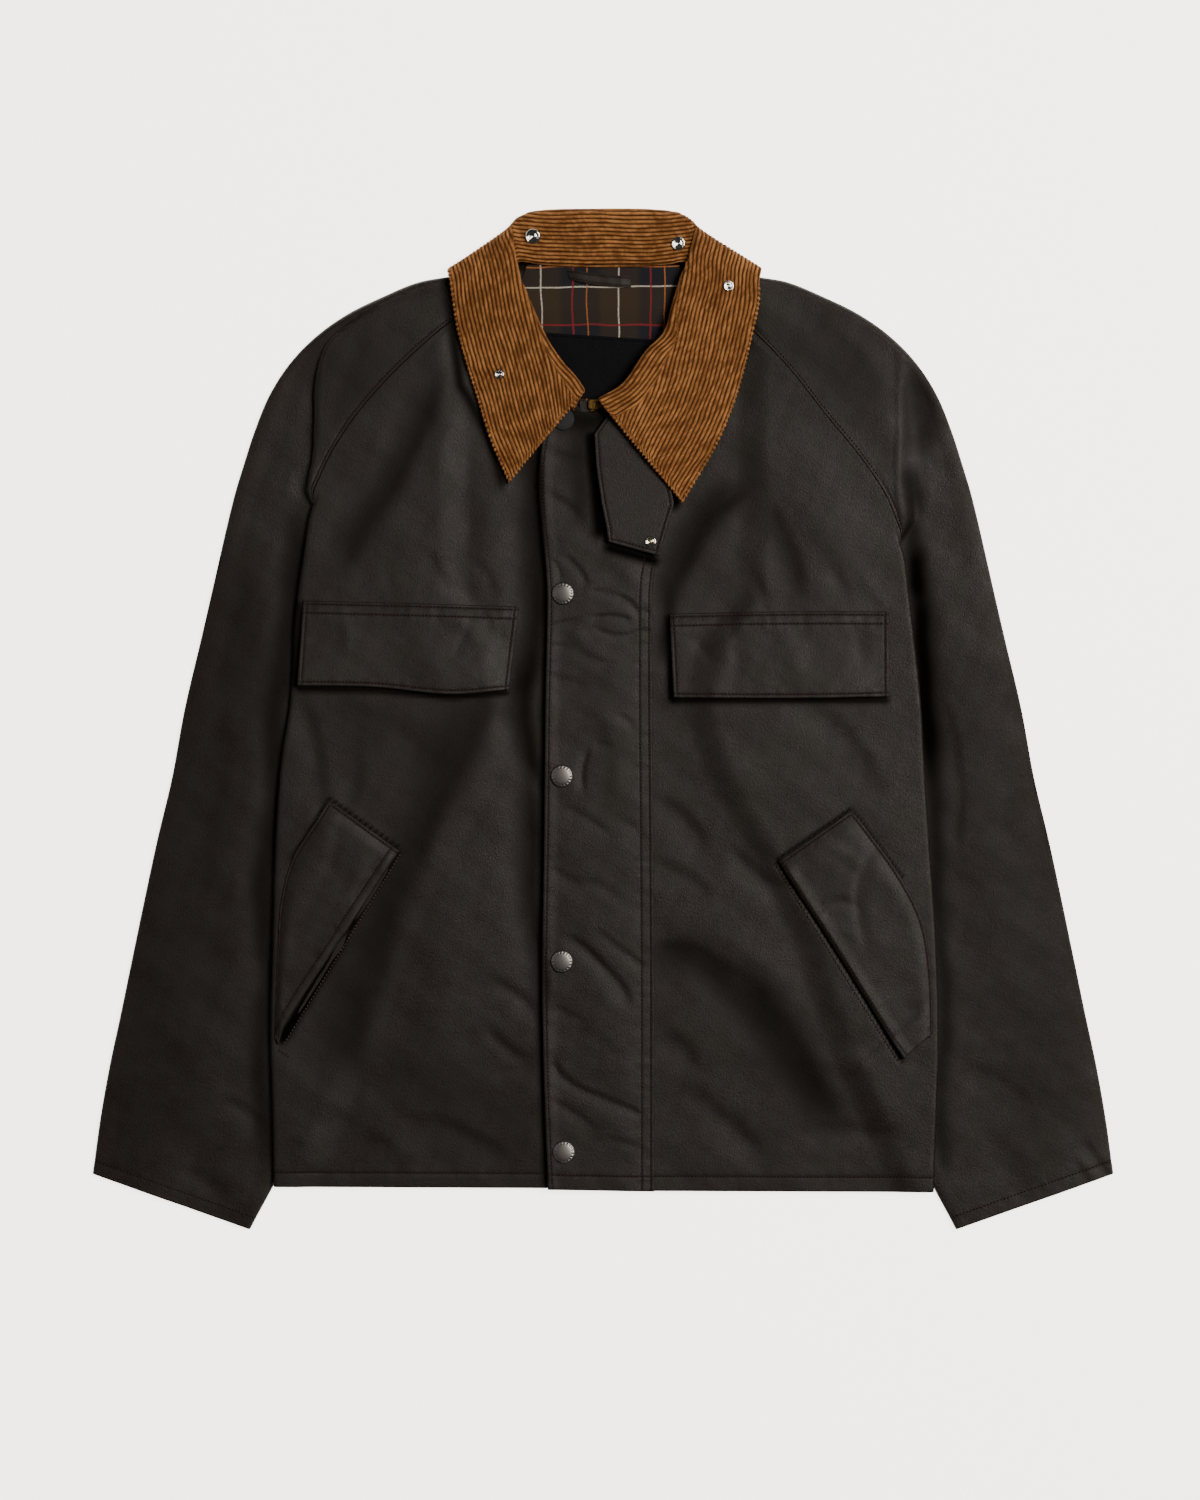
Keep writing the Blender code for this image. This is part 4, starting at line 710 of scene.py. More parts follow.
class Panel:
    """A piece of cloth: a middle surface on a grid with a wall about it.

    The wall's faces lie half its thickness out along the normal on both sides and
    meet on the rim, in a quarter circle.  Relief is added to the outer face only.
    """

    def __init__(self, name, middle, thickness, outward=0.0, sewn=()):
        self.name = name
        self.middle = middle
        normal = normals(middle)
        self.outward = outward or np.sign(normal[..., 2].sum())
        self.normal = normal * self.outward
        self.left, self.right, self.low, self.high = borders(middle)
        self.edge = np.minimum.reduce([getattr(self, side) for side in SIDES])
        self.half = np.full(self.edge.shape, thickness / 2)
        for side in SIDES:
            rim = SEWN_RIM if side in sewn else thickness / 2
            self.half = self.half * rounded(getattr(self, side), rim)
        self.relief = np.zeros(self.edge.shape)
        self.marks = {label: np.zeros(self.edge.shape) for label in ("wear", "shade")}
        self.chart = (self.left, self.low)

    def top(self):
        """The outer face."""
        fade = rounded(self.edge, 0.6) * smooth(self.normal[..., 2] * 3.0 + 1.3)
        return self.middle + self.normal * (self.half + self.relief * fade)[..., None]

    def hem(self, rows):
        """Turned edges: each raised up to its row of stitches, puckered beside it.

        The row is a groove, groove * exp(-(distance / 0.75)**2), and the pucker two
        sine waves along it that die away within a few millimetres.
        """
        for row in rows:
            distance = getattr(self, row.side)
            length = self.left if row.side in ("low", "high") else self.low
            dent = np.exp(-((distance - row.at) / 0.75) ** 2)
            raised = smooth((row.at - distance) / 2.4 + 0.5)
            wave = np.sin(length / 1.9 + 2.0 * np.sin(length / 13.0)) * np.sin(length / 7.7 + 1.0)
            beside = np.exp(-((distance - row.at) / 4.5) ** 2)
            self.relief = (self.relief + 0.3 * row.lift * raised - row.groove * dent
                           + PUCKER * wave * beside)
            self.mark("wear", 0.22 * np.exp(-(distance / 1.3) ** 2) + 0.15 * dent)
            # Painted shade in the row's groove.
            self.mark("shade", 0.4 * dent)

    def mark(self, name, value):
        """Deepen one of the masks that the finish reads."""
        self.marks[name] = np.maximum(self.marks[name], np.clip(value, 0.0, 1.0))

    def wax(self, strokes=PAINTED_FOLD_SHADE):
        """Paint shade into the folds, and shadows under the free edges of what is sewn on."""
        place = self.middle[..., 0], self.middle[..., 1]
        self.mark("shade", PAINTED_SHADE_SHARE * crease_field(strokes, *wander(*place)))
        self.mark("shade", crease_field(PAINTED_EDGE_SHADOWS, *place))

    def run(self, side, distance, begin=0.0, end=0.0):
        """A line on the outer face at a distance from one side, with its normals."""
        parts = [getattr(self, side), self.top(), self.normal]
        if side in ("left", "right"):
            parts = [part.swapaxes(0, 1) for part in parts]
        if side in ("right", "high"):
            parts = [part[::-1] for part in parts]
        measure, top, normal = parts
        i = np.clip((measure < distance).sum(axis=0) - 1, 0, len(measure) - 2)
        j = np.arange(measure.shape[1])
        t = (distance - measure[i, j]) / np.maximum(measure[i + 1, j] - measure[i, j], 1e-9)
        t = np.clip(t, 0.0, 1.0)[:, None]
        line = top[i, j] * (1 - t) + top[i + 1, j] * t
        facing = normal[i, j] * (1 - t) + normal[i + 1, j] * t
        length = lengths(line)
        keep = (length >= begin) & (length <= length[-1] - end) & (facing[:, 2] > -0.3)
        return line[keep], facing[keep]

    def runs(self, rows):
        """The lines of a table's rows of stitches."""
        return [self.run(row.side, row.at, row.begin, row.end) for row in rows]

    def build(self, finish, node, slot):
        """Make the piece: both faces, sharing the rim's vertices."""
        rows, columns = self.edge.shape
        top = self.top().reshape(-1, 3)
        bottom = (self.middle - self.normal * self.half[..., None]).reshape(-1, 3)
        inside = np.zeros((rows, columns), dtype=bool)
        inside[1:-1, 1:-1] = True
        inside = inside.reshape(-1)
        upper = np.arange(rows * columns)
        lower = upper.copy()
        lower[inside] = rows * columns + np.arange(inside.sum())
        points = np.concatenate([top, bottom[inside]]) * MM
        points[:, 2] = np.maximum(points[:, 2], 0.0)
        other = np.zeros((rows - 1, columns - 1), dtype=bool)
        other[0, -1] = other[-1, 0] = True
        other = other.reshape(-1)
        faces = []
        for corner, turned in ((upper, False), (lower, True)):
            corner = corner.reshape(rows, columns)
            quads = np.stack(
                [corner[:-1, :-1], corner[:-1, 1:], corner[1:, 1:], corner[1:, :-1]], -1)
            quads = quads.reshape(-1, 4)
            quads[other] = np.roll(quads[other], 1, axis=1)
            faces.append(triangles(quads[:, ::-1] if turned != (self.outward < 0) else quads))
        source = np.concatenate([upper, upper[inside]])
        chart = np.stack([part.reshape(-1)[source] for part in self.chart], -1)
        marks = {name: value.reshape(-1)[source] for name, value in self.marks.items()}
        return add_piece(
            self.name, points, np.concatenate(faces), finish, node, chart * MM, marks)


def add_piece(name, points, faces, finish, nodes, chart=None, marks=None):
    """Put points and faces into a mesh of the jacket, with its chart and masks."""
    mesh = bpy.data.meshes.new(name)
    faces = np.asarray(faces, dtype=np.int32)
    mesh.vertices.add(len(points))
    mesh.vertices.foreach_set("co", np.asarray(points, dtype=np.float32).reshape(-1))
    mesh.loops.add(faces.size)
    mesh.loops.foreach_set("vertex_index", faces.reshape(-1))
    mesh.polygons.add(len(faces))
    mesh.polygons.foreach_set("loop_start", np.arange(len(faces), dtype=np.int32) * faces.shape[1])
    mesh.update(calc_edges=True)
    if chart is not None:
        layer = mesh.uv_layers.new(name="cloth")
        layer.data.foreach_set("uv", chart[faces.reshape(-1)].astype(np.float32).reshape(-1))
    for label, value in (marks or {}).items():
        held = mesh.attributes.new(label, "FLOAT", "POINT")
        held.data.foreach_set("value", np.asarray(value, dtype=np.float32))
    mesh.shade_smooth()
    mesh.validate()
    mesh.materials.append(finish)
    piece = bpy.data.objects.new(name, mesh)
    bpy.context.scene.collection.objects.link(piece)
    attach(piece, "root")
    if nodes:
        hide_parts(*([nodes] if isinstance(nodes, str) else nodes))
    return piece


# Finishes.
def operation(kind, turned=False):
    """A method that puts a wire and what stands beside it into a Math node."""
    def method(self, other):
        """The node on the two, in their order in the expression."""
        return self.finish.math(kind, *((other, self) if turned else (self, other)))

    return method


class Wire:
    """A socket of a finish: arithmetic on it adds Math nodes."""

    def __init__(self, finish, socket):
        self.finish = finish
        self.socket = socket

    __add__, __radd__ = operation("ADD"), operation("ADD", True)
    __sub__, __rsub__ = operation("SUBTRACT"), operation("SUBTRACT", True)
    __mul__, __rmul__ = operation("MULTIPLY"), operation("MULTIPLY", True)
    __truediv__, __rtruediv__ = operation("DIVIDE"), operation("DIVIDE", True)
    __pow__, __rpow__ = operation("POWER"), operation("POWER", True)


class Finish:
    """One material, put together node by node around a Principled shader."""

    def __init__(self, name):
        self.material = bpy.data.materials.new(name)
        self.material.use_nodes = True
        self.tree = self.material.node_tree
        self.shader = self.tree.nodes["Principled BSDF"]

    def node(self, kind, settings=None, sockets=None, output=0):
        """Add a node: its settings first, then values or links for its sockets."""
        node = self.tree.nodes.new(kind)
        for name, value in (settings or {}).items():
            setattr(node, name, value)
        for name, value in (sockets or {}).items():
            if isinstance(value, Wire):
                self.tree.links.new(value.socket, node.inputs[name])
            else:
                node.inputs[name].default_value = value
        return Wire(self, node.outputs[output])

    def math(self, kind, *values):
        """A Math node on wires and numbers."""
        return self.node("ShaderNodeMath", {"operation": kind}, dict(enumerate(values)))

    def place(self):
        """The piece's own coordinates, in metres."""
        return self.node("ShaderNodeTexCoord", output="Object")

    def chart(self):
        """The cloth's own chart, in metres across and along it."""
        return self.node("ShaderNodeUVMap", {"uv_map": "cloth"})

    def mark(self, name):
        """One of the masks kept on the piece."""
        return self.node("ShaderNodeAttribute", {"attribute_name": name}, output="Fac")

    def split(self, vector):
        """A vector's three parts."""
        first = self.node("ShaderNodeSeparateXYZ", None, {0: vector})
        return [Wire(self, part) for part in first.socket.node.outputs]

    def noise(self, vector, scale, detail=2.0, roughness=0.5, distortion=0.0, stretch=None):
        """Noise from 0 to 1, of a place whose parts may be scaled."""
        if stretch:
            vector = self.node("ShaderNodeVectorMath", {"operation": "MULTIPLY"},
                               {0: vector, 1: stretch})
        return self.node("ShaderNodeTexNoise", None, {
            "Vector": vector, "Scale": scale, "Detail": detail, "Roughness": roughness,
            "Distortion": distortion})

    def cells(self, vector, scale):
        """Distance to the edges of scattered cells."""
        return self.node("ShaderNodeTexVoronoi", {"feature": "DISTANCE_TO_EDGE"}, {
            "Vector": vector, "Scale": scale}, "Distance")

    def band(self, value, low, high, to_low=0.0, to_high=1.0):
        """Map a range onto another, with soft ends."""
        return self.node("ShaderNodeMapRange", {"interpolation_type": "SMOOTHSTEP"}, {
            "Value": value, "From Min": low, "From Max": high, "To Min": to_low,
            "To Max": to_high})

    def mix(self, share, first, second):
        """Mix two colours."""
        return self.node("ShaderNodeMix", {"data_type": "RGBA"}, {
            0: share, 6: shade(first), 7: shade(second)}, 2)

    def bump(self, height, distance, strength=1.0, below=None):
        """A normal from a height of 0 to 1 over a distance in metres."""
        sockets = {"Height": height, "Distance": distance, "Strength": strength}
        return self.node(
            "ShaderNodeBump", None, sockets if below is None else {**sockets, "Normal": below})

    def surface(self, **values):
        """Set or link the shader's sockets, named with _ for a space."""
        for name, value in values.items():
            socket = self.shader.inputs[name.replace("_", " ")]
            if isinstance(value, Wire):
                self.tree.links.new(value.socket, socket)
            elif isinstance(socket.default_value, float):
                socket.default_value = value
            else:
                socket.default_value = shade(value)
        return self.material

    def sink(self, share, colour):
        """Painted shade: mix the shader with a dark, rough one by a share."""
        darkening = self.node("ShaderNodeBsdfPrincipled", None, {
            "Base Color": shade(colour), "Roughness": 1.0, "Specular IOR Level": 0.0})
        blend = self.node("ShaderNodeMixShader", None, {
            0: share, 1: Wire(self, self.shader.outputs[0]), 2: darkening})
        self.tree.links.new(blend.socket, self.tree.nodes["Material Output"].inputs[0])


def shade(colour):
    """A colour with its alpha, or a wire as it is."""
    return colour if isinstance(colour, Wire) else (*tuple(colour)[:3], 1.0)


def toned(colour, share):
    """A darker tone of a colour."""
    return [part * share for part in colour]


def waxed_cotton(colours):
    """Dark waxed cotton: cloudy wax, fine weave, brown where it is worn and, on the sleeves' outer
    bands, as a painted loss of sheen; painted shade where the shade mask is set.
    """
    name = "waxed_cotton"
    if name in bpy.data.materials:
        return bpy.data.materials[name]
    finish = Finish(name)
    place = finish.place()
    cloud = finish.noise(place, 11.0, 3.0, 0.55)
    patch = finish.noise(place, 55.0, 3.0, 0.6)
    grain = finish.noise(place, 760.0, 3.0, 0.75, stretch=(1.0, 0.8, 1.0))
    slub = finish.noise(place, 1500.0, 1.0, 0.5, stretch=(1.0, 0.4, 1.0))
    weft = finish.noise(place, 1500.0, 1.0, 0.5, stretch=(0.4, 1.0, 1.0))
    wear = finish.mark("wear")
    dark = finish.mark("shade")
    tone = finish.band(cloud * 0.2 + patch * 0.25 + grain * 0.55, 0.36, 0.64)
    colour = finish.mix(tone, colours.shell_dark, colours.shell)
    olive = finish.band(cloud * 0.4 + patch * 0.6, 0.42, 0.60, 0.0, 0.7)
    colour = finish.mix(olive, colour, colours.shell_olive)
    # Worn brown at edges and seams, and a painted loss of sheen on the sleeves' outer bands.
    worn_or_painted_sheen_loss = finish.band(wear + (patch - 0.5) * 0.6, 0.15, 0.95)
    colour = finish.mix(worn_or_painted_sheen_loss, colour, colours.shell_worn_or_painted_sheen_loss)
    # Painted shade: the shade mask mixes the cloth towards a dark shader without gloss.
    finish.sink(dark, colours.painted_shade_colour)
    rough = 0.50 + (patch - 0.5) * 0.20 + (grain - 0.5) * 0.40 + dark * 0.3 + worn_or_painted_sheen_loss * 0.22
    crumple = finish.noise(place, 95.0, 3.0, 0.55, 0.6)
    crackle = finish.cells(place, 130.0)
    coarse = finish.bump(crumple + finish.band(crackle, 0.0, 0.22) * 0.05, 0.0009, 0.09)
    fine = finish.bump(slub * 0.3 + weft * 0.3 + grain * 1.4, 0.00024, 1.0, coarse)
    return finish.surface(
        Base_Color=colour, Roughness=rough, Normal=fine, Specular_IOR_Level=0.20)


def corduroy(colours, pitch):
    """Tan corduroy: nap of varying tone with a painted highlight on the wales' tips, and painted
    shade on the ground between them.
    """
    finish = Finish("corduroy")
    chart = finish.chart()
    turn = finish.split(chart)[0] * (math.pi / pitch)
    ridge = finish.math("ABSOLUTE", finish.math("COSINE", turn)) ** 0.7
    place = finish.place()
    pile = finish.noise(chart, 1150.0, 2.0, 0.7, stretch=(2.2, 1.0, 1.0))
    lie = finish.noise(place, 45.0, 3.0, 0.65, 0.8)
    brush = finish.noise(chart, 300.0, 2.0, 0.6, stretch=(1.0, 0.3, 1.0))
    crush = finish.noise(chart, 240.0, 2.0, 0.6, stretch=(0.35, 1.0, 1.0))
    share = finish.band(ridge + (pile - 0.5) * 0.6 + (brush - 0.5) * 0.7, 0.22, 0.95)
    pressed = finish.band(lie * 0.45 + brush * 0.25 + crush * 0.3, 0.42, 0.60)
    nap = finish.mix(pressed, colours.cord_deep, colours.cord)
    # Partly painted highlight: the nap's tips are drawn lighter on the ribs' crests, and partly at
    # random.
    tips = finish.band(ridge * 0.5 + pile * 0.5 + (brush - 0.5) * 0.6, 0.55, 0.95)
    nap = finish.mix(tips * finish.band(lie * 0.5 + crush * 0.5, 0.36, 0.6, 0.25, 0.9), nap,
                     colours.cord_tip_highlight)
    # Painted shade between the ribs: the colour goes dark by the rib's phase.
    colour = finish.mix(share, colours.cord_valley_shade, nap)
    height = finish.bump(pile * 0.8 + brush * 0.5, 0.0006, 0.9)
    return finish.surface(
        Base_Color=colour, Roughness=0.86 + (lie - 0.5) * 0.2, Normal=height,
        Specular_IOR_Level=0.10, Sheen_Weight=0.15, Sheen_Roughness=0.45,
        Sheen_Tint=colours.cord_tip_highlight)


CHECK_REPEAT = 0.058


def stripe(finish, value, at, half):
    """1 on lines of a half width, at one place in each repeat of the check; in metres."""
    phase = finish.math("FRACT", (value - at) / CHECK_REPEAT + 0.5)
    away = finish.math("ABSOLUTE", phase - 0.5) * CHECK_REPEAT
    return finish.band(away, half * 0.8, half * 1.2, 1.0, 0.0)


def check_lining(colours):
    """Dark cotton lining with a plain window check of thin lines."""
    finish = Finish("check_lining")
    across, along, _ = finish.split(finish.chart())
    wave = (finish.noise(finish.place(), 30.0, 1.0) - 0.5) * 0.004
    across = across + wave
    along = along + wave
    block = stripe(finish, across, 0.014, 0.0145)
    row = stripe(finish, along, 0.020, 0.0145)
    ground = finish.mix(block * 0.5 + row * 0.5, colours.lining, colours.lining_brown)
    twill = finish.noise(finish.chart(), 1600.0, 1.0, stretch=(1.0, 0.25, 1.0))
    broken = finish.band(finish.noise(finish.chart(), 1500.0, 1.0), 0.35, 0.6, 0.25, 1.0)
    for colour, half, x, y in (
            (colours.lining_cream, 0.00055, 0.0140, 0.0340),
            (colours.lining_red, 0.0007, 0.0375, 0.0055),
            (colours.lining_rust, 0.0005, 0.0480, 0.0490)):
        for value, at in ((across, x), (along, y)):
            ground = finish.mix(stripe(finish, value, at, half) * broken, ground, colour)
    return finish.surface(
        Base_Color=ground, Roughness=0.80 + (twill - 0.5) * 0.2,
        Normal=finish.bump(twill, 0.0003, 0.5), Specular_IOR_Level=0.1)


def satin(colours):
    """Black woven satin of the bare label."""
    finish = Finish("label_satin")
    thread = finish.noise(finish.chart(), 2400.0, 1.0, stretch=(0.15, 1.0, 1.0))
    cloud = finish.noise(finish.place(), 40.0, 2.0)
    colour = finish.mix(finish.band(thread, 0.35, 0.65), colours.label, colours.label_light)
    return finish.surface(
        Base_Color=colour, Roughness=0.6 + (cloud - 0.5) * 0.3,
        Normal=finish.bump(thread, 0.0002, 0.6), Specular_IOR_Level=0.04)


def thread(colours, name, colour):
    """Waxed sewing thread."""
    if name in bpy.data.materials:
        return bpy.data.materials[name]
    finish = Finish(name)
    twist = finish.noise(finish.place(), 2600.0, 1.0)
    tint = finish.mix(finish.band(twist, 0.3, 0.7), toned(colour, 0.6), colour)
    # Painted shade: where the shade mask is set, as on the needle holes, the thread is drawn in
    # the shade colour.
    tint = finish.mix(finish.mark("shade"), tint, colours.painted_shade_colour)
    return finish.surface(
        Base_Color=tint, Roughness=0.8 + (twist - 0.5) * 0.2, Specular_IOR_Level=0.05)


def shell_thread(colours):
    """The thread that the shell is sewn with."""
    return thread(colours, "shell_thread", colours.thread)


def metal(name, colour, worn, roughness, scratch=0.3, plated=1.0):
    """Metal: fine scratches, spots of a worn tone, and painted shade where the shade mask is set:
    in hollows, dimples and under rims, and over a whole shaded cap.
    """
    if name in bpy.data.materials:
        return bpy.data.materials[name]
    finish = Finish(name)
    place = finish.place()
    spot = finish.noise(place, 900.0, 3.0, 0.6)
    fine = finish.noise(place, 3600.0, 2.0, 0.6)
    dent = finish.mark("shade")
    tint = finish.mix(finish.band(spot, 0.35, 0.7), colour, worn)
    # Painted shade: darker, less metallic and rougher where the shade mask is set.
    tint = finish.mix(dent, tint, toned(colour, 0.05))
    return finish.surface(
        Base_Color=tint, Metallic=plated - dent * plated,
        Roughness=roughness + (spot - 0.5) * 0.25 + (fine - 0.5) * scratch + dent * 0.3,
        Normal=finish.bump(fine, 0.00003, 0.4))


def nickel(colours):
    """The plate of the ring studs."""
    return metal("nickel", colours.nickel, toned(colours.nickel, 0.75), 0.34, scratch=0.15,
                 plated=0.7)


# Sewing.
STITCH_SPAN = (0.20, 0.75)
STITCH_SINK = 0.05
STITCH_SIDES = 5
STITCH_RINGS = ((0.0, 0.30, -0.55), (0.2, 0.9, 0.0), (0.5, 1.0, 0.2), (0.8, 0.9, 0.0),
                (1.0, 0.30, -0.55))
HOLE_SIDES = 6
LINE_POINTS = 90


def sew(name, runs, sizes, finish):
    """Rows of stitches: small sausages laid end to end along lines on the cloth.

    Each is a tube of five sides whose radius and height follow the rings' table,
    from its start to its end, in the frame of the line and the cloth's normal.
    """
    pitch = sizes.stitch_pitch / MM
    radius = sizes.stitch_width / MM / 2
    stations = []
    for line, facing in runs:
        length = lengths(line)
        count = int(length[-1] / pitch)
        at = np.arange(count) * pitch + (length[-1] - count * pitch) / 2
        stations.append([read_line(at + pitch * share, length, values) for share, values in
                         ((STITCH_SPAN[0], line), (STITCH_SPAN[1], line), (0.5, facing))])
    start, end, up = (np.concatenate(part) for part in zip(*stations))
    up = unit(up)
    run = end - start
    side = unit(np.cross(up, run))
    turn = turns(STITCH_SIDES)
    rings = []
    for share, wide, high in STITCH_RINGS:
        centre = start + run * share + up * radius * (high - STITCH_SINK)
        rings.append(centre[:, None]
                     + side[:, None] * (np.cos(turn) * wide * radius)[None, :, None]
                     + up[:, None] * (np.sin(turn) * wide * radius * 0.8)[None, :, None])
    base, _, quads = tube(len(STITCH_RINGS), STITCH_SIDES)
    first, last = base[0], base[-1]
    ends = np.array([first[[0, 4, 3, 1]], last[[0, 1, 3, 4]]])
    tips = np.array([first[[1, 3, 2]], last[[1, 2, 3]]])
    faces = triangles(repeated(np.concatenate([quads, ends]), len(start), base.size))
    tips = repeated(tips, len(start), base.size)
    holes, hole_faces = needle_hole_shades(start - run * 0.16, side, up, run, radius)
    sewn = len(start) * base.size
    faces = np.concatenate([faces, tips, hole_faces + sewn])
    # The lenses carry the shade mask, so they are drawn in painted shade.
    marks = np.concatenate([np.zeros(sewn), np.ones(len(holes))])
    points = np.concatenate([np.stack(rings, axis=1).reshape(-1, 3), holes])
    return add_piece(name, points * MM, faces, finish, None, None, {"shade": marks})


def needle_hole_shades(centre, side, up, run, radius):
    """Painted shade at the stitches' ends: flat six-sided lenses lying in the cloth, drawn dark
    where the needle holes are.
    """
    along = unit(run)
    turn = turns(HOLE_SIDES)
    ring = (centre[:, None] + up[:, None] * 0.02
            + side[:, None] * (np.cos(turn) * radius * 1.45)[None, :, None]
            + along[:, None] * (np.sin(turn) * radius * 1.15)[None, :, None])
    points = np.concatenate(
        [ring, (centre + up * 0.10)[:, None], (centre - up * 0.15)[:, None]], axis=1)
    faces = closed_tube(1, HOLE_SIDES, True)
    corners = points[0][faces[0]] - points[0].mean(axis=0)
    if np.dot(np.cross(corners[1] - corners[0], corners[2] - corners[0]), corners[0]) < 0:
        faces = faces[:, ::-1]
    return points.reshape(-1, 3), repeated(faces, len(centre), HOLE_SIDES + 2)


def make_up(panel, node, runs, sizes, colours):
    """Build a piece of the shell, and sew along its lines."""
    piece = panel.build(waxed_cotton(colours), node, "shell")
    return piece, sew(f"{node}_sewing", runs, sizes, shell_thread(colours))


# Surfaces of the pieces.
def front_panel(name, rows, raglan, side, depth):
    """A front: straight rows from the zip to the outline, turned round the side fold.

    A row runs from its inner to its outer end at the body's height, then round a
    half circle of the side's turn and back under.  Along the raglan seam it ends
    flat at the seam.
    """
    low = rim_steps(*FRONT_LOW, ends=(True, False), near=(FRONT_ROWS[0].at,))
    high = rim_steps(*FRONT_HIGH, ends=(False, True))[1:]
    side_rows = trace(rows, low, (2, 3))
    seam_rows = trace(raglan, 1.0 - high)
    inner = np.concatenate([side_rows[:, 0:2], seam_rows[:, 2:4]])
    outer = np.concatenate([side_rows[:, 2:4], seam_rows[:, 0:2]])
    under = np.concatenate([side_rows[:, 4], np.zeros(len(high))])
    clear = np.concatenate([np.full(len(low), CLOTH / 2), np.full(len(high), SEAM)])
    run = outer - inner
    width = np.hypot(run[:, 0], run[:, 1])
    heading = run / width[:, None]
    width = width - clear
    r = SIDE_TURN
    share = smooth(under / CURL_END)[:, None]
    turn = np.linspace(0.0, math.pi, 10)
    tail = np.maximum(under - math.pi * r, 0.0)[:, None] * np.linspace(0.0, 1.0, 8)[None, 1:]
    bend_in = np.concatenate([np.tile(r - r * np.sin(turn), (len(inner), 1)), r + tail], axis=1)
    drop = np.concatenate([np.tile(r - r * np.cos(turn), (len(inner), 1)),
                           np.full(tail.shape, 2 * r)], axis=1) * share
    level = np.linspace(FLAT_CURL, 0.0, bend_in.shape[1])[None]
    bend_in = bend_in * share + level * (1 - share)
    flat = width[:, None] - bend_in[:, :1]
    along = rim_steps(*FRONT_ACROSS, ends=(True, False))[None, :-1] * flat
    along = np.concatenate([along, flat, width[:, None] - bend_in[:, 1:]], axis=1)
    x = (inner[:, 0:1] + heading[:, 0:1] * along) * side
    y = inner[:, 1:2] + heading[:, 1:2] * along
    fold = along.shape[1] - bend_in.shape[1]
    z = body_top(x, y, depth)
    z[:, fold:] = body_top(x[:, fold:fold + 1], y[:, fold:fold + 1], depth) - drop
    panel = Panel(name, np.stack([x, y, z], -1), CLOTH, outward=side, sewn=("high",))
    panel.hem(FRONT_ROWS)
    # Painted shade in the pocket mouths; then painted shade in the folds and painted shadows under
    # the free edges.
    panel.mark("shade", -crease_field(POCKET_MOUTHS, x, y) / MOUTH_SHADE_DEPTH)
    panel.wax()
    return panel


def back_panel():
    """The back: straight rows between the side seams and the back raglan seams."""
    below = trace(BACK, rim_steps(*BACK_LOW, ends=(True, False)))
    above = trace(BACK_RAGLAN, 1.0 - np.linspace(0.0, 1.0, BACK_HIGH)[1:])
    out = np.concatenate([below[:, 0], above[:, 0] - SEAM, [NECK_OUT]])
    y = np.concatenate([below[:, 1], above[:, 1], [NECK_Y]])
    x = out[:, None] * (rim_steps(*BACK_ACROSS)[None] * 2.0 - 1.0)
    y = y[:, None] + np.zeros_like(x)
    panel = Panel("back_cloth", np.stack([x, y, back_z(x, y)], -1), CLOTH)
    panel.hem(BACK_ROWS)
    return panel


def refine(points, steps):
    """Cubics along the first axis of a net, through its points, by chord length.

    Each span is cut at its own list of shares; the tangent at a point is the mean
    of its two chords' slopes, the shorter chord counting more.
    """
    chord = np.linalg.norm(np.diff(points, axis=0), axis=-1)
    chord = np.maximum(chord, 1e-6)[..., None]
    slope = np.diff(points, axis=0) / chord
    inner = (slope[1:] * chord[:-1] + slope[:-1] * chord[1:]) / (chord[1:] + chord[:-1])
    tangent = np.concatenate([slope[:1], inner, slope[-1:]])
    return np.array([
        cubic(points[i], points[i + 1], tangent[i] * chord[i], tangent[i + 1] * chord[i], t)
        for i, shares in enumerate(steps) for t in shares] + [points[-1]])


def even(count):
    """Shares that cut a span into equal parts."""
    return np.arange(count) / count


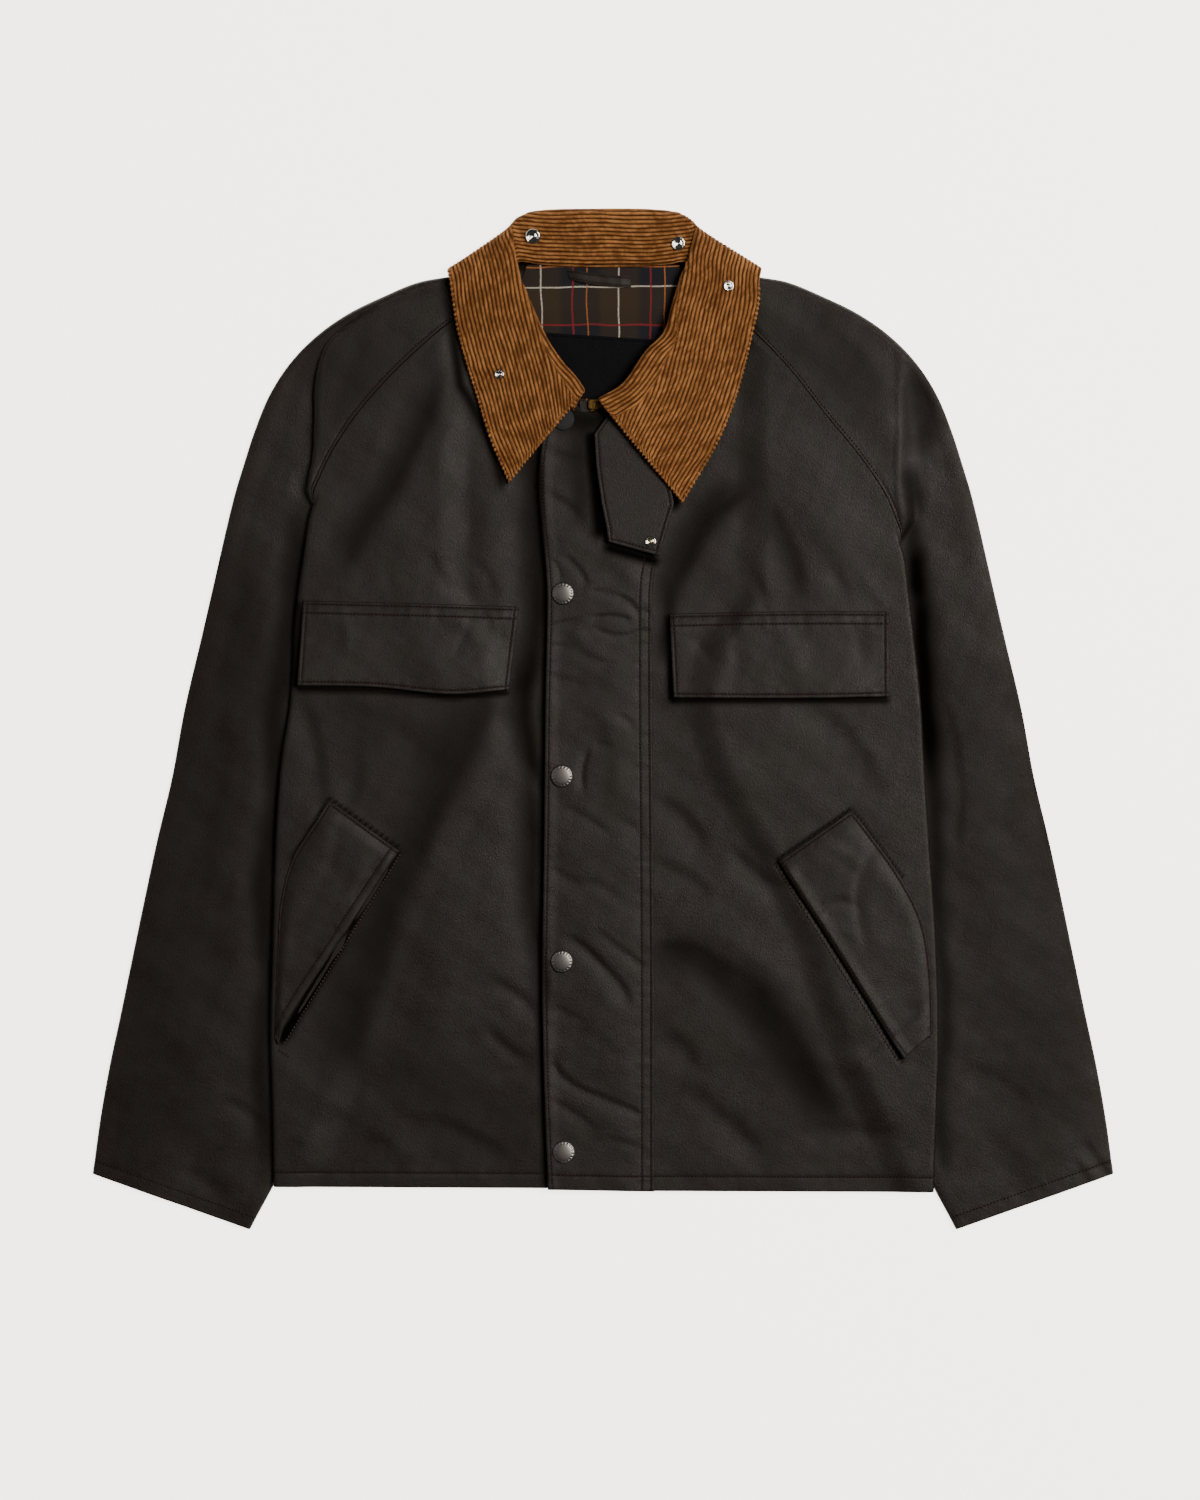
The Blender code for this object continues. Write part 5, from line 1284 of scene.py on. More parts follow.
def sleeve_line(side, row, seam, back, seam_z, closed):
    """One ring of a sleeve, from the front seam round the outline to the back seam.

    It leaves the seam flat, or round a half circle where the sleeve is closed, goes
    down its crease beside the body, swells by sin(pi * share) to the outline, turns
    round it in a half circle, and comes back along the floor.
    """
    seam, back = np.array(seam), np.array(back)
    edge = np.array([row.edge, row.edge_y])
    heading = (edge - seam) / np.hypot(*(edge - seam))
    edge = edge - heading * CLOTH / 2
    width = np.hypot(*(edge - seam))
    low_edge = FLOOR_LAYER + float(neck_ground(*edge))
    low_back = FLOOR_LAYER + float(neck_ground(*back))
    r = (row.level - FLOOR_LAYER) / 2 * closed
    points = []
    for i, (along, drop) in enumerate(
            ((FOLD_LAP, 2 * r), (0.4 * r, 1.8 * r), (0.0, r), (0.4 * r, 0.2 * r))):
        flat = SEAM + FLAT_STEP * i
        points.append((along * closed + flat * (1 - closed), seam_z - drop))
    start = max(FOLD_LAP / 2 * closed, SEAM + FLAT_STEP * len(points))
    least = LEAD_LEAST if row.tuck > SOFT_TUCK else SOFT_LEAD
    lead = np.clip((row.crease - start) * LEAD_SHARE, least, LEAD_MOST)
    lead = max(least, min(lead, width - FAR_FROM_EDGE - row.crease + row.tuck))
    for share in (0.0, 0.5):
        along = start + (row.crease - lead - start) * share
        points.append((along, seam_z + (row.level - seam_z) * along / row.crease))
    for at in SLEEVE_CREASE:
        along = row.crease + at.ahead * lead - row.tuck * at.shift
        share = (along - row.crease + lead) / (2 * lead - row.tuck)
        drop = at.drop if row.tuck > 0 else float(smooth(share))
        points.append((along, row.level - row.step * drop))
    begin = points[-1][0]
    lower = row.level - row.step
    r = (lower - low_edge) / 2
    stop = width - r - EDGE_RUN
    for share in (0.33, 0.67, 1.0):
        puff = PUFF * closed * math.sin(math.pi * share)
        points.append((begin + (stop - begin) * share, lower + puff))
    for out, drop in ((0.45, 0.12), (1.0, 1.0), (0.45, 1.88)):
        points.append((width - r + r * out, lower - r * drop))
    line = [(*(seam + heading * along), z) for along, z in points]
    under = seam + heading * stop
    end = back + (under - back) / np.hypot(*(under - back)) * (FOLD_LAP + SEAM) * closed
    for share in (0.0, 0.35, 0.7, 1.0):
        line.append((*(under + (end - under) * share), low_edge + (low_back - low_edge) * share))
    return [(side * x, y, z) for x, y, z in line]


def sleeve_panel(name, raglan, side, depth):
    """A raglan sleeve: a net of rings, made fine by cubics both ways.

    Near the seam its middle is moved by exp(-(distance / 5)**2) of what is missing to
    the front's own edge.
    """
    seams = records(raglan, np.linspace(0, 1, SEAM_ROWS))
    backs = records(BACK_RAGLAN, np.linspace(0, 1, SEAM_ROWS + ARMHOLE_ROWS))
    creases = CREASE_RIGHT if side < 0 else CREASE_LEFT
    net = []
    for seam, cap, crease, back in zip(
            seams, records(CAP, np.linspace(0, 1, SEAM_ROWS)), creases, backs):
        z = float(body_top(side * seam.seam, seam.seam_y, 0.0))
        row = CapRow(*cap, *crease, SIDE_LEVEL)
        net.append(sleeve_line(side, row, (seam.seam, seam.seam_y), back, z, 0.0))
    armpit = TUBE[0]._replace(
        fold=raglan[-1].seam - ARMPIT_IN, fold_y=raglan[-1].seam_y - ARMPIT_DOWN,
        tuck=min(TUBE[0].tuck, creases[-1].tuck))
    rings = records((armpit,) + TUBE[1:3], np.linspace(0, 1, ARMHOLE_ROWS))
    rings += records(TUBE[2:], np.linspace(0, 1, TUBE_ROWS))[1:]
    ends = backs[SEAM_ROWS:] + [(row.fold, row.fold_y) for row in rings[ARMHOLE_ROWS:]]
    for row, end in zip(rings, ends):
        net.append(sleeve_line(side, row, (row.fold, row.fold_y), end, row.level, row.closed))
    net = np.array(net)
    seam_cuts, tube_cuts = even(SEAM_CUTS), even(TUBE_CUTS)
    rows = [seam_cuts] * (SEAM_ROWS - 1) + [even(ARMPIT_CUTS)] + [seam_cuts] * (ARMHOLE_ROWS - 1)
    rows += [tube_cuts] * (TUBE_ROWS - 2) + [np.concatenate([tube_cuts, CUFF_CLOSE])]
    columns = [np.array([0.0, 0.2, 0.6]), *map(even, SLEEVE_CUTS), even(9)[:-1]]
    fine = refine(refine(net, rows).swapaxes(0, 1), columns).swapaxes(0, 1)
    panel = Panel(name, fine, CLOTH, outward=-side)
    x, y, up = fine[..., 0], fine[..., 1], np.clip(panel.normal[..., 2], 0.0, 1.0)
    rise = crease_field(SLEEVE_CREASES, *wander(x, y)) + swell(x, y, 1.1)
    fade = smooth((up - 0.3) / 0.5) * smooth((panel.left - 2.0) / 6.0)
    fine[..., 2] += rise * fade * depth
    # The seam's edge goes onto the front's own edge.
    sewn = sum(len(part) for part in rows[:SEAM_ROWS - 1]) + 1
    after = len(rows[SEAM_ROWS - 1])
    line = trace(raglan, np.linspace(0.0, 1.0, sewn))
    line = np.stack([side * line[:, 0], line[:, 1],
                     body_top(side * line[:, 0], line[:, 1], depth)], -1)
    near = np.exp(-(panel.left[:sewn + after] / 5.0) ** 2)
    fine[:sewn] += (line - fine[:sewn, 0])[:, None] * near[:sewn, :, None]
    past = (line[-1] - net[SEAM_ROWS - 1][0])[None, None]
    share = (1.0 - np.arange(1, after + 1) / after)[:, None] ** 2
    fine[sewn:sewn + after] += past * (share * near[sewn:])[..., None]
    panel = Panel(name, fine, CLOTH, outward=-side, sewn=("left",))
    panel.hem(CUFF_ROWS)
    # Painted shade in the folds and beside the body's edges, and painted shadows under the free
    # edges.
    panel.wax(PAINTED_FOLD_SHADE + SLEEVE_PAINTED_SHADE)
    seam_run = smooth((235.0 - panel.low) / 20.0)
    panel.relief -= 0.35 * np.exp(-((panel.left - SEAM_ROW) / 0.7) ** 2) * seam_run
    panel.mark("wear", 0.4 * np.exp(-((panel.left - 1.0) / 1.4) ** 2) * seam_run)
    panel.mark("wear", 0.4 * np.exp(-(panel.high / 5.0) ** 2))
    # Painted loss of sheen: the outer band, within some 24 mm of the fold, is drawn in the worn
    # brown and rougher, standing in for the sheen falling away there.
    fold = np.take_along_axis(panel.left, (up > 0.02).sum(axis=1)[:, None] - 1, axis=1)
    panel.mark("wear", 0.36 * np.exp(-(np.abs(fold - panel.left) / 24.0) ** 2))
    return panel


def patch_panel(name, rows, cuts, size, lift=PATCH_UP, ground=None, thickness=CLOTH, creases=(),
                depth=0.0, sewn=(), reach=SEWN_REACH, reading=trace, sewing=()):
    """A piece on a panel: rows between two edges, at the panel's height moved out.

    The panel is a front where no ground is named.  Its "cuts" and its "size" are up
    the rows and across them; it has close rows beside its sewing.  Beside a sewn edge
    it sinks by sink * exp(-(distance / reach)**2).
    """
    beside = {side: sorted(row.at for row in sewing if row.side == side) for side in SIDES}
    up = reading(rows, rim_steps(cuts[0], size[0], near=beside["low"], far=beside["high"]))
    across = rim_steps(cuts[1], size[1], near=beside["left"], far=beside["right"])[None]
    x = up[:, 0:1] * (1 - across) + up[:, 2:3] * across
    y = up[:, 1:2] * (1 - across) + up[:, 3:4] * across
    level = ground(x, y) if ground else body_top(x, y, depth)
    z = level + lift + PATCH_DEPTH * crease_field(creases, *wander(x, y)) * depth
    middle = np.stack([x, y, z], -1)
    distance = dict(zip(SIDES, borders(middle)))
    for side in sewn:
        middle[..., 2] -= SEWN_SINK * np.exp(-((distance[side] / reach) ** 2))
    return Panel(name, middle, thickness)


def scallop_edges(net, panel, pitch):
    """Push the leaves' front edges in and out: 0.5 * cos(2 * pi * distance / pitch) mm."""
    for line, inner, distance in ((0, 7, panel.low), (-1, -8, panel.high)):
        outward = net[line:line + 1 or None] - net[inner:inner + 1]
        outward[..., 2] = 0.0
        outward = outward / np.maximum(np.linalg.norm(outward, axis=-1, keepdims=True), 1e-9)
        wave = np.cos(2 * math.pi * panel.right[line] / pitch)[None]
        push = 0.5 * wave * np.exp(-((distance / 1.7) ** 2))
        net += outward * push[..., None]


def collar_panel(sizes):
    """The collar: seam, roll and edge at each station, with wales along the strip.

    The wales are h * |cos(pi * d / pitch)|**0.8, with d the distance over the cloth
    from the neck seam on the stand, from the outer edge on the fall, and from the
    roll in the band beside it.
    """
    stations = records(COLLAR, rim_steps(*COLLAR_ALONG, rim=1.2), (6, 7))
    net = []
    for row in stations:
        seam, roll, edge = (np.array(row[k:k + 2]) for k in (0, 3, 6))
        near_seam = (seam - roll) / np.hypot(*(seam - roll))
        near_edge = (edge - roll) / np.hypot(*(edge - roll))
        stand_z = row.roll_z - row.half
        fall_z = row.roll_z + row.half
        bend = abs(row.half) * ROLL_SHARE + ROLL_SHARE
        begin = roll + near_edge * bend * ROLL_OUT
        middle = seam + (roll + near_seam * bend * 1.6 - seam) * STAND_SHARE
        droop = LEAF_DROOP if row.half > 0 else FALL_DROOP
        net.append([
            (*seam, row.seam_z),
            (*middle, row.seam_z + (stand_z - row.seam_z) * STAND_SHARE),
            (*(roll + near_seam * bend * ROLL_OUT), stand_z),
            (*(roll + near_seam * bend * ROLL_IN), stand_z + row.half * 0.4),
            (*roll, row.roll_z),
            (*(roll + near_edge * bend * ROLL_IN), fall_z - row.half * 0.4),
            (*begin, fall_z)] + [
            (*(begin + (edge - begin) * share), fall_z + (row.edge_z - fall_z) * share**droop)
            for share in (0.3, 0.65, 1.0)])
    net = np.array(net)
    net[..., 2] = np.maximum(net[..., 2], CORDUROY / 2)
    first = np.concatenate([[0.0, 0.02, 0.06, 0.12], 0.12 + 0.88 * even(34)])
    last = np.concatenate([even(38), [0.985, 0.995]])
    columns = [first, *map(even, COLLAR_CUTS), last]
    roll_column = sum(len(part) for part in columns[:ROLL_COLUMN])
    fine = refine(net.swapaxes(0, 1), columns).swapaxes(0, 1)
    leaf = smooth((np.array([row.half for row in stations]) - 0.6) / 0.8)[:, None]
    x, y = fine[..., 0], fine[..., 1]
    ripple = (0.34 * np.sin(y / 8.0 + x / 14.0) + 0.22 * np.sin(x / 7.5 - y / 21.0)
              + 0.16 * np.sin(y / 3.9 - x / 11.0 + 1.5 * np.sin(x / 12.0)))
    crushed = smooth(1.6 * np.sin(x / 17.0 + 0.6) * np.sin(y / 21.0 + 1.1) + 0.1)
    ripple = ripple + 0.34 * crushed * np.sin(y / 2.1 + 2.0 * np.sin(x / 8.0))
    fine[..., 2] += leaf * ripple
    pitch = sizes.wale_pitch / MM
    scallop_edges(fine, Panel("collar_corduroy", fine, CORDUROY, outward=-1.0), pitch)
    panel = Panel("collar_corduroy", fine, CORDUROY, outward=-1.0)
    from_roll = np.abs(panel.left - panel.left[:, roll_column:roll_column + 1])
    column = np.arange(fine.shape[1])[None]
    band = np.array([row.band for row in stations])[:, None]
    drift = 0.35 * np.sin(panel.low / 17.0) + 0.25 * np.sin(panel.low / 7.0 + panel.left / 30.0)
    away = np.where(column < roll_column, panel.left, panel.right)
    away = np.where((column >= roll_column) & (from_roll < band), from_roll, away) + drift
    ridge = np.abs(np.cos(math.pi * away / pitch)) ** 0.8
    height = sizes.wale_height / MM
    panel.half = panel.half + (ridge - 0.5) * height * rounded(panel.edge, 1.4)
    panel.chart = (away, panel.low)
    return panel


def rope_edge(name, line, inward, facing, sizes, finish):
    """The pile rolled over an edge: a tube whose radius swells with each rib.

    Its radius is 0.95 + 0.3 * cos(2 * pi * length / pitch) mm, and it is flattened
    into the cloth.  It is closed by a point at each end.
    """
    pitch = sizes.wale_pitch / MM * ROPE_PITCH
    length = lengths(line)
    at = np.arange(0.0, length[-1], ROPE_STEP)
    centre, up, side = (read_line(at, length, values) for values in (line, facing, inward))
    up, side = unit(up), unit(side)
    wobble = 0.6 * np.sin(at / 9.0) + 0.4 * np.sin(at / 4.3 + 1.0)
    wave = np.cos(2 * math.pi * at / pitch + wobble)
    radius = (0.95 + 0.30 * wave) * smooth(at / 1.5) * smooth((at[-1] - at) / 1.5)
    centre = centre + side * (0.75 - 0.12 * wave)[:, None]
    turn = turns(ROPE_SIDES)
    points = (centre[:, None]
              - side[:, None] * (np.cos(turn)[None] * radius[:, None])[..., None] * 1.25
              + up[:, None] * (np.sin(turn)[None] * radius[:, None])[..., None] * 1.35)
    points[..., 2] = np.maximum(points[..., 2], 0.0)
    points = np.concatenate([points.reshape(-1, 3), centre[[0, -1]]])
    faces = closed_tube(len(at), ROPE_SIDES)
    corners = points[faces]
    inside = np.einsum("ij,ij->i", corners[:, 0], np.cross(corners[:, 1], corners[:, 2])).sum()
    faces = faces if inside > 0 else faces[:, ::-1]
    along = np.concatenate([np.repeat(at, ROPE_SIDES), at[[0, -1]]])
    rib = (2 * math.pi * along / pitch + np.interp(along, at, wobble)) / (2 * math.pi)
    chart = np.stack([rib * sizes.wale_pitch / MM, along], -1)
    return add_piece(name, points * MM, faces, finish, None, chart * MM)


def turned_cap(name, place, profile, tilt, dots, finish, node, steps):
    """A turned piece: a profile of radius, height and painted shade, carried round its axis.

    "dots" is a ring of small dimples, drawn in painted shade: their number, ring radius, radius
    and depth.
    """
    profile = np.array(profile, dtype=float)
    turn = turns(steps)
    radius, height, dark = (profile[:, k:k + 1] + np.zeros((1, steps)) for k in range(3))
    if dots:
        number, ring, size, deep = dots
        nearest = (turn * number / (2 * math.pi) + 0.5) % 1.0 - 0.5
        across = nearest[None] * 2 * math.pi / number * ring
        bell = np.exp(-((across**2 + (radius - ring) ** 2) / size**2))
        bell = bell * (height > profile[:, 1].max() * 0.3)
        height = height - deep * bell
        dark = np.maximum(dark, bell * 0.9)
    x = radius * np.cos(turn)[None]
    y = radius * np.sin(turn)[None]
    facing = np.array(Vector(tilt).to_track_quat("Z", "Y").to_matrix())
    points = np.stack([x, y, height], -1).reshape(-1, 3) @ facing.T + np.array(place)
    poles = np.array([place + facing @ np.array([0.0, 0.0, profile[k, 1]]) for k in (0, -1)])
    shades = np.concatenate([dark.reshape(-1), profile[[0, -1], 2]])
    return add_piece(name, np.concatenate([points, poles]) * MM,
                     closed_tube(len(profile), steps, True), finish, node, None,
                     {"shade": shades})


def cap_profile(radius, height, darkening=0.0):
    """A domed snap cap with a rolled rim: radius, height and painted shade, darkest under the rim.
    """
    dome = [(radius * 0.97 * math.sin(a), height * (0.30 + 0.70 * math.cos(a) ** 0.7), darkening)
            for a in np.linspace(0.06, math.pi / 2, 24)]
    rim = [(radius * 0.985, height * 0.18, 0.9), (radius, height * 0.12, 0.5),
           (radius, height * 0.04, 0.3), (radius * 0.97, 0.0, 0.3)]
    return dome + rim


def stud_profile(radius, height, darkening=0.0):
    """A ring stud: hole, inner ring, groove and rolled outer rim, with painted shade in the hole,
    the groove and under the rim.
    """
    shares = (
        (0.04, 0.10, 1.0), (0.18, 0.10, 1.0), (0.22, 0.42, 0.6), (0.28, 0.52, 0.2),
        (0.34, 0.42, 0.6), (0.38, 0.14, 1.0), (0.62, 0.12, 1.0), (0.67, 0.50, 0.6),
        (0.71, 0.84, 0.1), (0.77, 0.98, 0.0), (0.84, 1.00, 0.0), (0.91, 0.88, 0.0),
        (0.98, 0.52, 0.1), (1.00, 0.20, 0.6), (0.98, 0.0, 0.8))
    return [(radius * r, height * z, max(dark, darkening)) for r, z, dark in shares]


def seat(panel, x, y):
    """The point of a piece's outer face nearest to a place, with its normal."""
    top = panel.top()
    normal = panel.normal
    away = np.hypot(top[..., 0] - x, top[..., 1] - y)
    away = np.where(normal[..., 2] > 0.3, away, 1e9)
    i, j = np.unravel_index(np.argmin(away), away.shape)
    facing = normal[max(i - 1, 0):i + 2, max(j - 4, 0):j + 5].mean(axis=(0, 1))
    return np.array([x, y, top[i, j, 2]]), facing / np.linalg.norm(facing)


def ring_stud(panel, stud, sunk, colours):
    """A ring stud, seated on a piece and sunk into it a little."""
    place, facing = seat(panel, stud.x, stud.y)
    turned_cap(f"{stud.node}_ring", place - facing * sunk,
               stud_profile(stud.radius, stud.height, stud.dark), facing, None, nickel(colours),
               stud.node, 48)
    return place, facing


def pillows(name, centres, halves, rings, steps, power, finish, node):
    """Blocks with rounded edges: a sphere's chart raised to a power in each direction."""
    v = np.linspace(0.0, math.pi, rings + 1)[1:-1, None]
    u = turns(steps)[None]

    def bent(value):
        """A sine or cosine with its size raised to 2 / power, and its own sign."""
        return np.sign(value) * np.abs(value) ** (2.0 / power)

    x = bent(np.sin(v)) * bent(np.cos(u))
    y = bent(np.sin(v)) * bent(np.sin(u))
    z = bent(np.cos(v)) + np.zeros_like(u)
    ball = np.concatenate([np.stack([x, y, z], -1).reshape(-1, 3), [[0, 0, 1], [0, 0, -1]]])
    points = (centres[:, None] + ball[None] * halves[:, None]).reshape(-1, 3) * MM
    faces = repeated(closed_tube(len(v), steps, True), len(centres), len(ball))
    return add_piece(name, points, faces, finish, node, None,
                     {"shade": np.zeros(len(points))})


# What a user may change.
def paint(name, text, value):
    """A colour that a user may change."""
    return bpy.props.FloatVectorProperty(
        name=name, description=text, subtype="COLOR", size=3, min=0.0, max=1.0, default=value)


def amount(name, text, value, low, high, **kind):
    """A number that a user may change."""
    return bpy.props.FloatProperty(
        name=name, description=text, default=value, min=low, max=high, **kind)


def extent(*settings):
    """A length that a user may change."""
    return amount(*settings, unit="LENGTH")


class JacketSizes(bpy.types.PropertyGroup):
    """Sizes of the finish."""

    crease_depth: amount("Crease depth", "Depth of the creases, as a share of the laid jacket's",
                         1.0, 0.0, 1.5, subtype="FACTOR")
    stitch_pitch: extent("Stitch pitch", "Length of one stitch with its gap", 0.0027, 0.0015,
                         0.005)
    stitch_width: extent("Thread width", "Width of the thread", 0.0009, 0.0003, 0.0012)
    wale_pitch: extent("Wale pitch", "Distance between two ribs of the corduroy", 0.0031, 0.002,
                       0.006)
    wale_height: extent("Wale height", "Height of a rib over the ground", 0.0010, 0.0, 0.0015)


class JacketColours(bpy.types.PropertyGroup):
    """Colours of the finish."""

    shell: paint("Shell", "Waxed cotton", (0.0114, 0.0070, 0.0056))
    shell_dark: paint("Shell, dark", "Waxed cotton where wax is thick", (0.0053, 0.0034, 0.0027))
    # Also drawn on the sleeves' outer bands as a painted loss of sheen.
    shell_worn_or_painted_sheen_loss: paint("Shell, worn", "Waxed cotton at edges and seams", (0.0175, 0.0102, 0.0068))
    shell_olive: paint("Shell, olive", "Waxed cotton where the green shows",
                       (0.0076, 0.0073, 0.0050))
    # Painted shade: the colour of needle holes, pocket mouths, deep folds and lines under free
    # edges.
    painted_shade_colour: paint("Recess", "Needle holes and pocket mouths", (0.0016, 0.0013, 0.001))
    thread: paint("Thread", "Sewing of the shell", (0.034, 0.018, 0.011))
    thread_light: paint("Light thread", "Sewing that has lost its wax", (0.085, 0.062, 0.044))
    cord: paint("Corduroy", "Nap of the corduroy", (0.190, 0.081, 0.025))
    # A painted highlight on the ribs' crests, and the sheen's tint.
    cord_tip_highlight: paint("Corduroy, light", "Tips of the nap", (0.420, 0.185, 0.060))
    cord_deep: paint("Corduroy, deep", "Nap that lies the other way", (0.115, 0.043, 0.011))
    # Painted shade between the ribs.
    cord_valley_shade: paint("Corduroy ground", "Between the ribs", (0.036, 0.012, 0.003))
    lining: paint("Lining", "Ground of the check", (0.0085, 0.009, 0.012))
    lining_brown: paint("Lining, brown", "Blocks of the check", (0.027, 0.018, 0.0105))
    lining_cream: paint("Lining, cream", "Cream lines", (0.40, 0.37, 0.31))
    lining_red: paint("Lining, red", "Red lines", (0.16, 0.012, 0.018))
    lining_rust: paint("Lining, rust", "Rust lines", (0.28, 0.09, 0.02))
    label: paint("Label", "Satin of the label", (0.0020, 0.0020, 0.0028))
    label_light: paint("Label, light", "Satin's threads", (0.0042, 0.0042, 0.0055))
    gunmetal: paint("Gunmetal", "Snap caps", (0.74, 0.745, 0.78))
    nickel: paint("Nickel", "Ring studs", (0.62, 0.61, 0.59))
    brass: paint("Brass", "Zip", (0.42, 0.25, 0.075))


class JacketStudio(bpy.types.PropertyGroup):
    """Floor, light and camera."""

    floor: paint("Floor", "Pale floor", (0.72, 0.700, 0.645))
    floor_glow: amount("Floor glow", "Light of the backlit floor", 5.0, 0.0, 10.0)
    key: amount("Key light", "Power of the large soft light at the upper right", 244.0, 0.0,
                1000.0, unit="POWER")
    side: amount("Side light", "Power of the soft light at the left", 5.0, 0.0, 1000.0,
                 unit="POWER")
    warmth: paint("Light's colour", "Colour of both lights", (1.0, 0.938, 0.87))
    fill: amount("Fill", "Strength of the light from all round", 0.05, 0.0, 3.0)
    frame_height: extent("Frame height", "What the picture's height takes in", 1.125, 0.5, 3.0)
    lens: amount("Lens", "Focal length in millimetres", 110.0, 20.0, 300.0)


# Operators.
class JacketOperator:
    """What the jacket's operators share."""

    bl_options = {"REGISTER", "UNDO"}

    @staticmethod
    def settings(context):
        """Sizes and colours."""
        return context.scene.jacket_sizes, context.scene.jacket_colours


class JACKET_OT_back(JacketOperator, bpy.types.Operator):
    """Dress the back panel"""

    bl_idname = "jacket.back"
    bl_label = "Back"

    def execute(self, context):
        panel = back_panel()
        piece, sewing = make_up(panel, "back", panel.runs(BACK_ROWS), *self.settings(context))
        return {"FINISHED"}


class JACKET_OT_fronts(JacketOperator, bpy.types.Operator):
    """Dress the two fronts"""

    bl_idname = "jacket.fronts"
    bl_label = "Fronts"

    def execute(self, context):
        sizes, colours = self.settings(context)
        depth = sizes.crease_depth
        pale = thread(colours, "pale_thread", colours.thread_light)
        for name, rows, raglan, side in (
                ("right", FRONT_RIGHT, RAGLAN_RIGHT, -1), ("left", FRONT_LEFT, RAGLAN_LEFT, 1)):
            panel = front_panel(f"front_{name}_cloth", rows, raglan, side, depth)
            dark, light = ([laid_line(*row[:4], depth) for row in FRONT_SEWING
                            if row.side == name and row.light == kind] for kind in (False, True))
            piece, sewing = make_up(
                panel, f"front_{name}", panel.runs(FRONT_ROWS) + dark, sizes, colours)
            rows = [sewing]
            if light:
                rows.append(sew(f"front_{name}_pocket_sewing", light, sizes, pale))
        return {"FINISHED"}


class JACKET_OT_sleeves(JacketOperator, bpy.types.Operator):
    """Dress the two raglan sleeves"""

    bl_idname = "jacket.sleeves"
    bl_label = "Sleeves"

    def execute(self, context):
        sizes, colours = self.settings(context)
        for name, raglan, side in (("right", RAGLAN_RIGHT, -1), ("left", RAGLAN_LEFT, 1)):
            panel = sleeve_panel(f"sleeve_{name}_cloth", raglan, side, sizes.crease_depth)
            seam, facing = panel.run("left", SEAM_ROW)
            shown = seam[:, 1] > raglan[-1].seam_y
            piece, rows = make_up(
                panel, f"sleeve_{name}", [(seam[shown], facing[shown])] + panel.runs(CUFF_ROWS),
                sizes, colours)
        return {"FINISHED"}


def placket_panel(depth):
    """The storm fly, its free edge standing a little off the front."""
    panel = patch_panel(
        "placket_cloth", PLACKET, (400, 66), (585.0, 80.0), creases=PLACKET_CREASES,
        depth=depth, sewn=("right",), reach=FLY_REACH, sewing=PLACKET_ROWS)
    panel.middle[..., 2] += FLY_LIFT * smooth(1.0 - panel.left / FLY_LIFT_RUN)
    panel.hem(PLACKET_ROWS)
    return panel


class JACKET_OT_placket(JacketOperator, bpy.types.Operator):
    """Dress the storm fly over the zip"""

    bl_idname = "jacket.placket"
    bl_label = "Storm fly"

    def execute(self, context):
        sizes, colours = self.settings(context)
        panel = placket_panel(sizes.crease_depth)
        # Painted shade in the folds and painted shadows under the free edges, such as the throat
        # tab's.
        panel.wax()
        piece, rows = make_up(panel, "placket", panel.runs(PLACKET_ROWS), sizes, colours)
        return {"FINISHED"}


class JACKET_OT_flaps(JacketOperator, bpy.types.Operator):
    """Dress the chest pocket flaps"""

    bl_idname = "jacket.flaps"
    bl_label = "Chest flaps"

    def execute(self, context):
        sizes, colours = self.settings(context)
        for name, shape in (("right", CHEST_FLAP_RIGHT), ("left", CHEST_FLAP_LEFT)):
            panel = patch_panel(
                f"chest_flap_{name}_cloth", shape, (110, 44), (162.0, 64.0),
                creases=FLAP_CREASES, depth=sizes.crease_depth, sewn=("left",),
                sewing=FLAP_ROWS)
            lift = FLAP_LIFT * smooth((panel.left - FLAP_LIFT_FROM) / FLAP_LIFT_RUN)
            panel.middle[..., 2] += lift * (1.0 + 0.25 * np.sin(panel.low / 17.0 + 1.0))
            panel.hem(FLAP_ROWS)
            piece, rows = make_up(
                panel, f"chest_flap_{name}", panel.runs(FLAP_ROWS), sizes, colours)
        return {"FINISHED"}


class JACKET_OT_pockets(JacketOperator, bpy.types.Operator):
    """Dress the slanted hand pockets"""

    bl_idname = "jacket.pockets"
    bl_label = "Hand pockets"

    def execute(self, context):
        sizes, colours = self.settings(context)
        for name, shape in (("right", HAND_POCKET_RIGHT), ("left", HAND_POCKET_LEFT)):
            sewing = POCKET_ROWS[name]
            panel = patch_panel(
                f"hand_pocket_{name}_cloth", shape, (120, 44), (186.0, 58.0),
                creases=POCKET_CREASES, depth=sizes.crease_depth, sewn=("left", "low"),
                sewing=sewing)
            free = smooth(1.0 - panel.right / FLY_LIFT_RUN)
            panel.middle[..., 2] += FLY_LIFT * (free * smooth(panel.low / POCKET_LIFT_RUN))
            panel.hem(sewing)
            piece, rows = make_up(
                panel, f"hand_pocket_{name}", panel.runs(sewing), sizes, colours)
        return {"FINISHED"}


